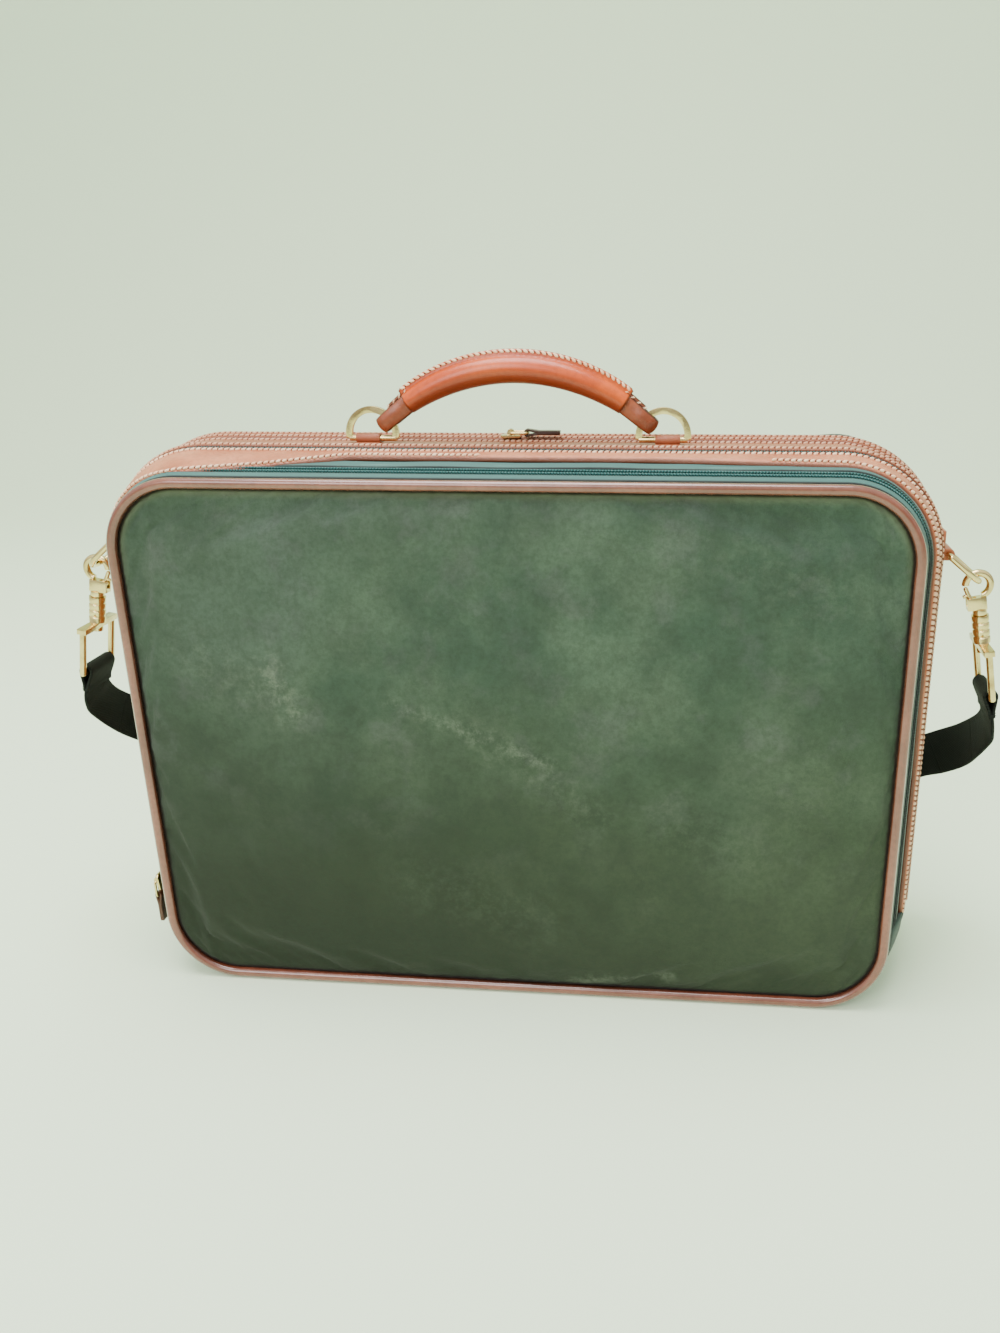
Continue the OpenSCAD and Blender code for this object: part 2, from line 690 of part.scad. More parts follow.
// The skin's distance from the middle of the bag, or its height, at both sides of a slider.
function beside(y) = [y - slider_w / 2, y, y + slider_w / 2];
function slider_x(y) = max([for (v = beside(y)) half_at(v)]);
function slider_top(y) = max([for (v = beside(y)) top_at(v)]);
function lowest(y, way) = min([for (v = beside(y)) way > 0 ? top_at(v) : half_at(v)]);

// A slider's inner plate lies under the tapes, which start tape_top below the skin.
module slider(y, tape_top) {
    depth = tape_top + tape_t + fit + max(slider_x(y) - lowest(y, -1), slider_top(y) - lowest(y, 1));
    color(brass) union() {
        translate([0, 0, plate_z]) linear_extrude(plate_t)
            polygon([[-slider_l / 2, -slider_w / 2 + 1], [-slider_l / 2 + 1.5, -slider_w / 2],
                [slider_l / 2, 1 - slider_w / 2], [slider_l / 2, slider_w / 2 - 1],
                [-slider_l / 2 + 1.5, slider_w / 2], [-slider_l / 2, slider_w / 2 - 1]]);
        translate([-slider_l / 2 + 1, -0.3, -depth]) cube([3, 0.6, depth + plate_z + 0.4]);
        translate([-slider_l / 2, -2.6, -depth - plate_in]) cube([slider_l, 5.2, plate_in]);
        difference() {
            union() {
                translate([-1.9, -1.1, plate_z + 0.5]) cube([3.8, 2.2, pivot_z - plate_z - 0.5]);
                translate([0, -1.1, pivot_z]) rotate([-90, 0, 0])
                    cylinder(r = 1.9, h = 2.2, $fn = 48);
            }
            translate([0, -2, pivot_z]) rotate([-90, 0, 0])
                cylinder(r = bail_r + running, h = 4, $fn = 48);
        }
    }
}

module bail() {
    bend = 1.2;
    color(brass) translate([0, 0, pivot_z]) union() {
        for (x = [0, bail_l]) translate([x, bend - bail_half, 0]) rotate([-90, 0, 0])
            cylinder(r = bail_r, h = 2 * (bail_half - bend), $fn = 32);
        for (s = [-1, 1]) translate([bend, s * bail_half, 0]) rotate([0, 90, 0])
            cylinder(r = bail_r, h = bail_l - 2 * bend, $fn = 32);
        for (c = [[bail_l - bend, bail_half - bend, 0], [bend, bail_half - bend, 90],
                [bend, bend - bail_half, 180], [bail_l - bend, bend - bail_half, 270]])
            translate([c[0], c[1], 0]) rotate([0, 0, c[2]])
                rotate_extrude(angle = 90, $fn = 48) translate([bend, 0]) circle(bail_r, $fn = 32);
    }
}

module pull_tab() {
    w = 2 * (bail_half - bail_r) - 2 * fit;
    r = bail_r + 0.1;
    t = 1.1;
    color(brown_leather) translate([bail_l, w / 2, pivot_z]) rotate([90, 0, 0])
        linear_extrude(w) difference() {
            union() {
                circle(r + t, $fn = 48);
                polygon([[0, -r - t], [6, -t], [tab_l, -t], [tab_l, t], [6, t], [0, r + t]]);
            }
            circle(r, $fn = 48);
            polygon([[0, -r], [4.5, 0], [0, r]]);
        }
}

slider_rest = zip_end + 8;
rear_rest = -5;

module at_left(y) {
    translate([-slider_x(y), y, slider_rest]) rotate([0, 90, 180]) children();
}
module at_top() {
    translate([rear_rest, zip_y, slider_top(zip_y)]) children();
}

module pocket_slider() { at_left(pocket_y) slider(pocket_y, fabric_t + fit); }
module pocket_bail() { at_left(pocket_y) bail(); }
module pocket_pull_tab() { at_left(pocket_y) pull_tab(); }
module front_slider() { at_left(-zip_y) slider(-zip_y, zip_top); }
module front_bail() { at_left(-zip_y) bail(); }
module front_pull_tab() { at_left(-zip_y) pull_tab(); }
module rear_slider() { at_top() slider(zip_y, zip_top); }
module rear_bail() { at_top() bail(); }
module rear_pull_tab() { at_top() pull_tab(); }

bottom_tray();
base_board();
middle_band();
divider();
laptop_sleeve();
sleeve_strap();
front_zip_rear_tape();
rear_zip_front_tape();
handle_chapes();
on_side(-1) side_chape();  // side_chape_left
on_side(1) side_chape();  // side_chape_right
front_strip();
front_gusset();
partition();
organizer_pocket();
front_zip_front_tape();
pocket_zip_rear_tape();
front_panel();
front_piping();
pocket_gusset();
pocket_zip_front_tape();
rear_strip();
rear_gusset();
back_panel();
back_piping();
rear_zip_rear_tape();
handle_rings();
handle_grip();
handle_core();
handle_loops();
on_side(-1) side_ring();  // side_ring_left
on_side(1) side_ring();  // side_ring_right
on_side(-1) hook();  // hook_left
on_side(1) hook();  // hook_right
on_side(-1) gate();  // gate_left
on_side(1) gate();  // gate_right
on_side(-1) eye();  // eye_left
on_side(1) eye();  // eye_right
on_side(-1) strap_end();  // strap_end_left
on_side(1) strap_end();  // strap_end_right
shoulder_strap();
pocket_slider();
pocket_bail();
pocket_pull_tab();
front_slider();
front_bail();
front_pull_tab();
rear_slider();
rear_bail();
rear_pull_tab();
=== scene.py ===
import math
import bmesh
import bpy
import numpy as np
from mathutils import Matrix, Vector, noise


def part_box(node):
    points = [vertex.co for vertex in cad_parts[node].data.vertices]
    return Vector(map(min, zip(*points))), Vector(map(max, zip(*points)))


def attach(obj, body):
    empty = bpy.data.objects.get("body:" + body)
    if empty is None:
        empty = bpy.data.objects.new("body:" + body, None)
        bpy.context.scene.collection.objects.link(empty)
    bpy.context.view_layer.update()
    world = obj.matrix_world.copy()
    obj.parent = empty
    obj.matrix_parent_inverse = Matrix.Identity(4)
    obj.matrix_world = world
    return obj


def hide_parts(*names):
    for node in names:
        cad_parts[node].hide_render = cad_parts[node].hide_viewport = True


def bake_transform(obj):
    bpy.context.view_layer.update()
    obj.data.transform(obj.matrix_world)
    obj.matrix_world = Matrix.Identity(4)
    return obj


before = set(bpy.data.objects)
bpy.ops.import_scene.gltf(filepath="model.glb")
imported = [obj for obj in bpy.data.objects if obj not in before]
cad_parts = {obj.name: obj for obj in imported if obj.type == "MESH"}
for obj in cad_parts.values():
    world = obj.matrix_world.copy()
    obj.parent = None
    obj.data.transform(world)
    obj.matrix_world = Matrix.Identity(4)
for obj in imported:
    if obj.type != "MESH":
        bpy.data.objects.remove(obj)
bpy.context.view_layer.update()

# Camera, floor and light
# The bag stands on a pale floor that sweeps up behind it, under a broad soft light from above.
# The camera looks down on it from a little to the right of its middle.

tilt, yaw, roll = math.radians(19.7), math.radians(-5.53), math.radians(-0.36)
ahead = Vector((math.sin(yaw) * math.cos(tilt), math.cos(yaw) * math.cos(tilt), -math.sin(tilt)))
across = ahead.cross(Vector((0, 0, 1))).normalized()
above = across.cross(ahead)
right = across * math.cos(roll) + above * math.sin(roll)
up = above * math.cos(roll) - across * math.sin(roll)

lens = bpy.data.cameras.new("camera")
lens.lens = 36 * 1054.9 / 1333
lens.shift_x = -0.075
lens.clip_start = 0.02
camera = bpy.data.objects.new("camera", lens)
camera.matrix_world = Matrix((
    (right.x, up.x, -ahead.x, 0.0945),
    (right.y, up.y, -ahead.y, -0.5407),
    (right.z, up.z, -ahead.z, 0.3722),
    (0, 0, 0, 1)))
bpy.context.scene.collection.objects.link(camera)
bpy.context.scene.camera = camera


class Wire:
    """A value in a node tree, on which sums are written as on a number."""

    def __init__(self, net, socket):
        self.net = net
        self.socket = socket

    def __add__(self, other):
        return self.net.sum("ADD", self, other)

    __radd__ = __add__

    def __sub__(self, other):
        return self.net.sum("SUBTRACT", self, other)

    def __rsub__(self, other):
        return self.net.sum("SUBTRACT", other, self)

    def __mul__(self, other):
        return self.net.sum("MULTIPLY", self, other)

    __rmul__ = __mul__

    def __truediv__(self, other):
        return self.net.sum("DIVIDE", self, other)

    def __pow__(self, other):
        return self.net.sum("POWER", self, other)


class Net:
    """A node tree, of a finish or of a pattern of repeated parts."""

    def __init__(self, tree):
        self.tree = tree

    def node(self, kind, settings=None, values=None, out=0):
        made = self.tree.nodes.new(kind)
        for name, value in (settings or {}).items():
            setattr(made, name, value)
        for name, value in (values or {}).items():
            if isinstance(value, Wire):
                self.tree.links.new(value.socket, made.inputs[name])
            else:
                made.inputs[name].default_value = value
        return Wire(self, made.outputs[out])

    def sum(self, operation, a, b):
        return self.node("ShaderNodeMath", {"operation": operation}, {0: a, 1: b})


class Finish(Net):
    """A surface finish. Its patterns lie in the bag's own frame unless it follows a UV map."""

    def __init__(self, name, **constants):
        self.material = bpy.data.materials.new(name)
        self.material.use_nodes = True
        super().__init__(self.material.node_tree)
        self.shader = self.tree.nodes["Principled BSDF"]
        for socket, value in constants.items():
            self.shader.inputs[socket.replace("_", " ")].default_value = value
        self.here = self.node("ShaderNodeTexCoord", out="Object")

    def set(self, socket, wire):
        self.tree.links.new(wire.socket, self.shader.inputs[socket])

    def clouds(self, scale, detail=3.0, where=None, rough=0.5):
        return self.node("ShaderNodeTexNoise", None, {"Vector": where or self.here, "Scale": scale,
                         "Detail": detail, "Roughness": rough}, out="Fac")

    def pebbles(self, scale, feature="DISTANCE_TO_EDGE", where=None):
        return self.node("ShaderNodeTexVoronoi", {"feature": feature},
                         {"Vector": where or self.here, "Scale": scale}, out="Distance")

    def between(self, value, low, high, to_low=0.0, to_high=1.0):
        return self.node("ShaderNodeMapRange", {"interpolation_type": "SMOOTHSTEP"},
                         {"Value": value, "From Min": low, "From Max": high,
                          "To Min": to_low, "To Max": to_high})

    def mix(self, share, a, b, way="MIX"):
        return self.node("ShaderNodeMix", {"data_type": "RGBA", "blend_type": way},
                         {0: share, 6: a, 7: b}, out=2)

    def relief(self, height, distance, strength=1.0):
        self.set("Normal", self.node("ShaderNodeBump", None, {"Height": height,
                 "Distance": distance, "Strength": strength}, out="Normal"))

    def attribute(self, name, out="Fac"):
        return self.node("ShaderNodeAttribute", {"attribute_name": name}, out=out)

    def axes(self, where=None):
        parts = self.node("ShaderNodeSeparateXYZ", None, {"Vector": where or self.here})
        outputs = parts.socket.node.outputs
        return [Wire(self, outputs[i]) for i in range(3)]


def tone(red, green, blue):
    """A colour from 0 to 255 as the shader wants it."""
    def linear(c):
        c /= 255
        return c / 12.92 if c <= 0.04045 else ((c + 0.055) / 1.055) ** 2.4
    return (linear(red), linear(green), linear(blue), 1.0)


def keep(name, mesh, finish=None):
    """Puts a mesh into the scene as an object at the origin."""
    made = bpy.data.objects.new(name, mesh)
    bpy.context.scene.collection.objects.link(made)
    if finish is not None:
        mesh.materials.clear()
        mesh.materials.append(finish.material)
    return made


paper = Finish("studio_paper", Roughness=0.95, Specular_IOR_Level=0.1)
paper.set("Base Color", paper.mix(paper.clouds(0.8), tone(236, 254, 223), tone(233, 251, 220)))
sweep = bpy.data.meshes.new("studio_sweep")
profile = [(-4.0, 0.0), (1.2, 0.0)]
profile += [(1.2 + 1.2 * math.sin(a), 1.2 - 1.2 * math.cos(a))
            for a in np.linspace(0, math.pi / 2, 17)[1:]] + [(2.4, 5.0)]
sweep.from_pydata([(x, y, z) for y, z in profile for x in (-6, 6)], [],
                  [(2 * i, 2 * i + 1, 2 * i + 3, 2 * i + 2) for i in range(len(profile) - 1)])
sweep.shade_smooth()
keep("studio_floor", sweep, paper)

world = bpy.data.worlds.new("studio")
world.use_nodes = True
sky = Net(world.node_tree)
way = sky.node("ShaderNodeSeparateXYZ", None, {"Vector": sky.node("ShaderNodeTexCoord")})
to_right, height = (Wire(sky, way.socket.node.outputs[i]) for i in (0, 2))
level = sky.node("ShaderNodeMapRange", {"interpolation_type": "SMOOTHSTEP"},
                 {"Value": height - to_right * 0.30, "From Min": -0.1, "From Max": 0.75})
colour = sky.node("ShaderNodeMix", {"data_type": "RGBA"},
                  {0: level, 6: (0.42, 0.45, 0.42, 1), 7: (1.42, 1.48, 1.36, 1)}, out=2)
world.node_tree.links.new(colour.socket, world.node_tree.nodes["Background"].inputs["Color"])
bpy.context.scene.world = world
for name, place, aim, size, power in (
        ("overhead", (-0.2, -0.1, 1.9), (0.0, 0.0, 0.0), 1.1, 44),
        ("front", (-0.8, -2.0, 1.6), (0.0, 0.0, 0.15), 1.2, 32),
        ("right", (1.9, -0.6, 0.9), (0.0, 0.0, 0.2), 1.2, 2)):
    lamp = bpy.data.lights.new(name, "AREA")
    lamp.size = size
    lamp.energy = power
    holder = bpy.data.objects.new(name, lamp)
    holder.location = place
    holder.rotation_euler = (Vector(aim) - Vector(place)).to_track_quat("-Z", "Y").to_euler()
    bpy.context.scene.collection.objects.link(holder)

# Bottom of the bag
# One piece of coated green fabric runs under the bag and a little way up its sides. Its two side gussets
# are sewn to the pipings.

PANEL_W, PANEL_H, PANEL_R = 0.402, 0.2875, 0.039
BODY_W, BODY_H, BODY_R, LOW_R = 0.438, 0.2995, 0.057, 0.042
ZIP_END = 0.0463
SHARE_Y = (-0.0458, -0.0375, -0.024, -0.0135, -0.011, 0.011, 0.0135, 0.024, 0.036, 0.0458)
SHARE_OUT = (0, 0.25, 0.58, 0.72, 0.84, 0.84, 0.92, 1, 0.92, 0.55)


def share(y):
    """How far a point lies from the outline of the front panel to that of the bands."""
    return np.interp(y, SHARE_Y, SHARE_OUT)


def outline(w, h, r, low):
    """Left side up, over the top, down, and back under: rows of x, z and the way out."""
    rows = [(-w / 2, z, -1, 0) for z in np.linspace(ZIP_END, h - r, 31)[:-1]]
    for cx, cz, q, start, end in ((r - w / 2, h - r, r, 180, 90), (w / 2 - r, h - r, r, 90, 0),
                                  (w / 2 - low, low, low, 0, -90), (low - w / 2, low, low, -90, -180)):
        for a in np.radians(np.linspace(start, end, 21)):
            rows.append((cx + q * math.cos(a), cz + q * math.sin(a), math.cos(a), math.sin(a)))
        if start == 180:
            rows += [(x, h, 0, 1) for x in np.linspace(r - w / 2, w / 2 - r, 61)[1:-1]]
        elif start == 90:
            rows += [(w / 2, z, 1, 0) for z in np.linspace(h - r, ZIP_END, 31)[1:]]
        elif start == 0:
            rows += [(x, 0, 0, -1) for x in np.linspace(w / 2 - low, low - w / 2, 41)[1:-1]]
    return np.array(rows, float)


PANEL_LINE = outline(PANEL_W, PANEL_H, PANEL_R, PANEL_R)
BODY_LINE = outline(BODY_W, BODY_H, BODY_R, LOW_R)
ALL_ROUND = np.arange(len(PANEL_LINE))
OVER_TOP = ALL_ROUND[:30 + 21 + 59 + 21 + 30]
UNDER = np.append(ALL_ROUND[len(OVER_TOP) - 1:], 0)


def on_shell(y, inset, rows):
    """The points of the shell at depth y, set in from the outside, and the ways out."""
    depth = np.broadcast_to(y, (len(PANEL_LINE),))
    line = PANEL_LINE + (BODY_LINE - PANEL_LINE) * share(depth)[:, None]
    inset = np.broadcast_to(inset, (len(line),))
    points = np.column_stack((line[:, 0] - inset * line[:, 2], depth, line[:, 1] - inset * line[:, 3]))
    outward = np.column_stack((line[:, 2], np.zeros(len(line)), line[:, 3]))
    return points[rows], outward[rows]


def loft(name, stations, rows=OVER_TOP):
    """A closed strip through stations (y, inset), which run round its section."""
    closed = rows is ALL_ROUND
    loops = np.array([on_shell(y, inset, rows)[0] for y, inset in stations])
    m, n = loops.shape[:2]
    faces = []
    for i in range(n if closed else n - 1):
        for j in range(m):
            k, l = (i + 1) % n, (j + 1) % m
            faces.append((j * n + i, j * n + k, l * n + k, l * n + i))
    if not closed:
        faces += [tuple(j * n for j in range(m)), tuple(j * n + n - 1 for j in range(m))]
    mesh = bpy.data.meshes.new(name)
    mesh.from_pydata(loops.reshape(-1, 3), [], faces)
    along = np.concatenate(([0], np.cumsum(np.linalg.norm(np.diff(loops[0], axis=0), axis=1))))
    edges = [min(abs(float(np.mean(y)) - float(np.mean(stations[0][0]))),
                 abs(float(np.mean(y)) - max(float(np.mean(s[0])) for s in stations)))
             for y, inset in stations]
    mark = mesh.attributes.new("edge", "FLOAT", "POINT")
    mark.data.foreach_set("value", np.repeat(edges, n).astype(np.float32))
    way = mesh.attributes.new("along", "FLOAT", "POINT")
    way.data.foreach_set("value", np.tile(along, m).astype(np.float32))
    settle(mesh)
    return mesh


def settle(mesh, smooth=True):
    """Turns the faces of a closed mesh outwards."""
    work = bmesh.new()
    work.from_mesh(mesh)
    bmesh.ops.recalc_face_normals(work, faces=work.faces)
    work.to_mesh(mesh)
    work.free()
    if smooth:
        mesh.shade_smooth()


def strip(y0, y1, thick, dome=0.0, roll=0.0005, sunk=0.0):
    """The section of a strip whose edges are pared round and whose middle stands a little."""
    ts = np.linspace(0, 1, 7)[1:-1]
    top = [(y0, roll), (y0 + roll * 0.4, roll * 0.3), (y0 + roll * 1.4, 0)]
    top += [(y0 + (y1 - y0) * t, -dome * 4 * t * (1 - t)) for t in ts]
    top += [(y1 - roll * 1.4, 0), (y1 - roll * 0.4, roll * 0.3), (y1, roll)]
    return [(y, inset + sunk) for y, inset in top + [(y1, thick), (y0, thick)]]


def ruffle(mesh, amount, scale, seed=0.0, keep_below=-1.0):
    """Small uneven waves, as in fabric that has been used."""
    co = np.empty(len(mesh.vertices) * 3, np.float32)
    mesh.vertices.foreach_get("co", co)
    co = co.reshape(-1, 3)
    for p in co:
        v = Vector((p[0] * scale + seed, p[1] * scale, p[2] * scale))
        if p[2] > keep_below:
            shift = noise.noise_vector(v) * amount
            p += np.array((shift.x, shift.y * 0.5, shift.z if p[2] > 0.03 else max(0.0, shift.z)))
    mesh.vertices.foreach_set("co", co.reshape(-1))
    mesh.update()


noise.seed_set(3)
gusset_cloth = Finish("gusset_cloth", Roughness=0.7, Sheen_Weight=0.08)
# Painted light: the gusset fabric is lighter along the top, where the light falls, except at the back,
# and darker down the sides, which are in shade. The two tones below are a lit and a shaded copy of the
# same mottled green.
gusset_height = gusset_cloth.axes()[2]
gusset_lit_top = gusset_cloth.between(gusset_height, 0.245, 0.285)
gusset_lit_top = gusset_lit_top * gusset_cloth.between(gusset_cloth.axes()[1], 0.0, 0.02, 1.0, 0.0)
gusset_shaded = gusset_cloth.mix(gusset_cloth.clouds(22, 5), tone(22, 44, 40), tone(38, 64, 56))
gusset_lit = gusset_cloth.mix(gusset_cloth.clouds(22, 5), tone(38, 88, 84), tone(64, 118, 112))
gusset_tone = gusset_cloth.mix(gusset_lit_top, gusset_shaded, gusset_lit)
gusset_fine = gusset_cloth.clouds(900, 2)
gusset_tone = gusset_cloth.mix(gusset_fine * 0.35, gusset_tone, tone(36, 62, 58))
# Painted shade: the fabric is darkened close to the edges of each strip of it, in the seams where it
# meets the leather and the piping.
gusset_seam_shade = gusset_cloth.between(gusset_cloth.attribute("edge"), 0.0003, 0.0012, 0.95, 0.0)
gusset_cloth.set("Base Color", gusset_cloth.mix(gusset_seam_shade, gusset_tone, tone(10, 18, 16)))
gusset_cloth.relief(gusset_fine * 0.5 + gusset_cloth.clouds(120, 4) * 0.8, 0.0006, 0.6)

FRONT_FOLD = ((0, -0.0135, 0.050), (0, -0.044, 0.0604))
REAR_FOLD = ((0, 0.0135, 0.050), (0, 0.044, 0.0604))

tray = keep("bottom_fabric", loft("bottom_fabric", strip(-0.0134, 0.0134, 0.0014), UNDER),
            gusset_cloth)
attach(tray, "root")
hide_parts("bottom_tray")
for name, y0, y1, body, fold in (
        ("bottom_front_gusset", -0.0415, -0.01345, "front_section", FRONT_FOLD),
        ("bottom_rear_gusset", 0.01345, 0.0458, "rear_section", REAR_FOLD)):
    side = keep(name, loft(name, strip(y0, y1, 0.0014), UNDER), gusset_cloth)
    ruffle(side.data, 0.0008, 26)
    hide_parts("bottom_tray")
    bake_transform(side)

# Bottom board
# A stiff board, covered with the lining, lies loose on the bottom fabric and keeps it flat.

board_cover = Finish("board_cover", Roughness=0.85)
board_cover.set("Base Color", board_cover.mix(board_cover.clouds(300, 4), tone(44, 52, 46),
                                              tone(66, 76, 68)))
board_cover.relief(board_cover.pebbles(900), 0.0003, 0.5)


def slab(name, low, high, cells=(24, 8, 1), roll=0.0006):
    """A flat piece with pared edges, between two corners."""
    work = bmesh.new()
    bmesh.ops.create_cube(work, size=1)
    size = Vector(high) - Vector(low)
    middle = (Vector(high) + Vector(low)) / 2
    for v in work.verts:
        v.co = Vector((v.co.x * size.x, v.co.y * size.y, v.co.z * size.z)) + middle
    for axis in range(3):
        normal = [0, 0, 0]
        normal[axis] = 1
        for i in range(1, cells[axis]):
            spot = list(middle)
            spot[axis] = low[axis] + size[axis] * i / cells[axis]
            bmesh.ops.bisect_plane(work, geom=work.verts[:] + work.edges[:] + work.faces[:],
                                   plane_co=spot, plane_no=normal)
    sharp = [e for e in work.edges if e.calc_face_angle(0) > 0.5]
    bmesh.ops.bevel(work, geom=sharp, offset=roll, segments=3, profile=0.6, affect="EDGES")
    mesh = bpy.data.meshes.new(name)
    work.to_mesh(mesh)
    work.free()
    mesh.shade_smooth()
    return mesh


board = keep("bottom_board", slab("bottom_board", *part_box("base_board")), board_cover)
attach(board, "root")
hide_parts("base_board")

# Middle band
# A strip of tan leather, pared at its edges and sewn down with a thick waxed thread along
# both of them. It carries the handle on top and a strap ring on each side.


def hide(name, light, dark, gloss=0.42, grain=0.45):
    """Smooth tanned leather: cloudy colour, a fine grain, and darker pared edges. The same edge mark also
    paints shade: the shadow line along the strips' edges and the dark seams on either side of the piping.
    """
    made = Finish(name, Specular_IOR_Level=0.45)
    body = made.mix(made.between(made.clouds(28, 5), 0.3, 0.7), light, dark)
    deep = tuple(c * 0.22 for c in dark[:3]) + (1,)
    fine = made.clouds(420, 4)
    body = made.mix(made.between(fine, 0.35, 0.75) * 0.22, body, deep)
    # Darker edges: partly the leather's own pared edge, and partly painted shade in the seams where the
    # edge mark calls for it.
    edge = made.between(made.attribute("edge"), 0.0, 0.0011, 0.9, 0.0)
    body = made.mix(edge, body, deep)
    made.body = body
    made.set("Base Color", body)
    made.set("Roughness", made.clouds(60, 3) * 0.22 + (gloss - 0.1))
    pores = made.pebbles(1100)
    made.relief(made.between(pores, 0.0, 0.25) * 0.5 + made.clouds(90, 3) * 0.9, 0.0004, grain)
    return made


tan = hide("tan_leather", tone(212, 134, 97), tone(176, 92, 58), 0.34)
darker = tan.between(tan.axes()[1], -0.020, -0.006)
tan.set("Base Color", tan.mix(darker * 0.58, tan.body, tone(132, 68, 40)))
thread = Finish("waxed_thread", Roughness=0.5, Sheen_Weight=0.2)
waxed = thread.mix(thread.between(thread.clouds(160, 3), 0.3, 0.7), tone(255, 218, 182),
                   tone(236, 178, 138))
depth, height = thread.axes()[1:]
# The thread is darker towards the back of the bag, below the handle.
painted_underside_shade_and_rear_tint = thread.between(depth, -0.015, -0.008) * thread.between(height, 0.302, 0.306, 1.0, 0.0)
thread.set("Base Color", thread.mix(painted_underside_shade_and_rear_tint * 0.6, waxed, tone(172, 108, 76)))
thread.relief(thread.clouds(2600, 2), 0.0002, 0.5)

# Painted shade: the dark tube laid under each row of stitches stands in for the shadow in the groove
# between them.
stitch_groove_shade = Finish("painted_stitch_groove_shade", Roughness=0.8)
stitch_groove_shade.set("Base Color", stitch_groove_shade.mix(stitch_groove_shade.clouds(200), tone(130, 68, 42), tone(92, 46, 28)))

rows_of = bpy.data.node_groups.new("beads_on_a_line", "GeometryNodeTree")
for label, kind in (("Geometry", "NodeSocketGeometry"), ("Pitch", "NodeSocketFloat"),
                    ("Size", "NodeSocketVector"), ("Slant", "NodeSocketFloat"),
                    ("Groove", "NodeSocketFloat"), ("Finish", "NodeSocketMaterial"),
                    ("Shade", "NodeSocketMaterial")):
    rows_of.interface.new_socket(label, in_out="INPUT", socket_type=kind)
rows_of.interface.new_socket("Geometry", in_out="OUTPUT", socket_type="NodeSocketGeometry")
net = Net(rows_of)
given = rows_of.nodes.new("NodeGroupInput").outputs
given = {s.name: Wire(net, s) for s in given if s.name}
line = net.node("GeometryNodeMeshToCurve", None, {"Mesh": given["Geometry"]})
spots = net.node("GeometryNodeCurveToPoints", {"mode": "LENGTH"},
                 {"Curve": line, "Length": given["Pitch"]}, out="Points")
tangent = Wire(net, spots.socket.node.outputs["Tangent"])
outward = net.node("GeometryNodeInputNamedAttribute", {"data_type": "FLOAT_VECTOR"},
                   {"Name": "outward"}, out="Attribute")
lie = net.node("FunctionNodeAlignRotationToVector", {"axis": "X"}, {"Vector": tangent})
lie = net.node("FunctionNodeAlignRotationToVector", {"axis": "Z", "pivot_axis": "X"},
               {"Rotation": lie, "Vector": outward})
turn = net.node("FunctionNodeAxisAngleToRotation", None,
                {"Axis": (0, 0, 1), "Angle": given["Slant"]})
lie = net.node("FunctionNodeRotateRotation", {"rotation_space": "LOCAL"},
               {"Rotation": lie, "Rotate By": turn})
bead = net.node("GeometryNodeMeshUVSphere", None, {"Segments": 8, "Rings": 5, "Radius": 0.5},
                out="Mesh")
bead = net.node("GeometryNodeSetShadeSmooth", None, {"Geometry": bead})
bead = net.node("GeometryNodeTransform", None, {"Geometry": bead, "Scale": given["Size"]})
laid = net.node("GeometryNodeInstanceOnPoints", None,
                {"Points": spots, "Instance": bead, "Rotation": lie})
laid = net.node("GeometryNodeRealizeInstances", None, {"Geometry": laid})
laid = net.node("GeometryNodeSetMaterial", None, {"Geometry": laid, "Material": given["Finish"]})
round_line = net.node("GeometryNodeCurvePrimitiveCircle", {"mode": "RADIUS"},
                      {"Resolution": 6, "Radius": given["Groove"]}, out="Curve")
under = net.node("GeometryNodeCurveToMesh", None, {"Curve": line, "Profile Curve": round_line})
under = net.node("GeometryNodeSetMaterial", None, {"Geometry": under, "Material": given["Shade"]})
both = rows_of.nodes.new("GeometryNodeJoinGeometry")
for part in (laid, under):
    rows_of.links.new(part.socket, both.inputs[0])
laid = Wire(net, both.outputs[0])
rows_of.links.new(laid.socket, rows_of.nodes.new("NodeGroupOutput").inputs[0])


def finished(made, tree, **values):
    """Runs a pattern on an object and leaves its result as a plain mesh."""
    step = made.modifiers.new("pattern", "NODES")
    step.node_group = tree
    for item in tree.interface.items_tree:
        if item.in_out == "INPUT" and item.name in values:
            step[item.identifier] = values[item.name]
    result = bpy.data.meshes.new_from_object(made.evaluated_get(bpy.context.evaluated_depsgraph_get()))
    made.modifiers.clear()
    made.data = result
    return made


def beads(name, points, outward, finish, pitch, size, slant, shade=None, groove=0.36):
    """A row of stitches or teeth along a line that lies on the bag, over a dark core tube that paints the
    shade in the groove beneath them.
    """
    n = len(points)
    mesh = bpy.data.meshes.new(name)
    mesh.from_pydata([tuple(p) for p in points], [(i, i + 1) for i in range(n - 1)], [])
    way = mesh.attributes.new("outward", "FLOAT_VECTOR", "POINT")
    way.data.foreach_set("vector", np.asarray(outward, np.float32).reshape(-1))
    return finished(keep(name, mesh), rows_of, Pitch=pitch, Size=size, Slant=slant,
                    Groove=size[1] * groove, Finish=finish.material,
                    Shade=(shade or stitch_groove_shade).material)


STITCH = dict(finish=thread, pitch=0.0030, size=(0.0041, 0.0020, 0.0018), slant=0.72, groove=0.36)

band = keep("middle_band_leather", loft("middle_band_leather", strip(-0.011, 0.011, 0.0018, 0.0003)),
            tan)
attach(band, "root")
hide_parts("middle_band")
for name, y in (("front", -0.0088), ("rear", 0.0088)):
    seam = beads("middle_band_stitches_" + name, *on_shell(y, -0.0002, OVER_TOP), **STITCH)
    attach(seam, "root")

# Narrow strips
# A leather strip on each side of the middle band holds the other half of a zip. The front one
# widens at both upper corners, where it laps over the pocket, and shows a second seam there.


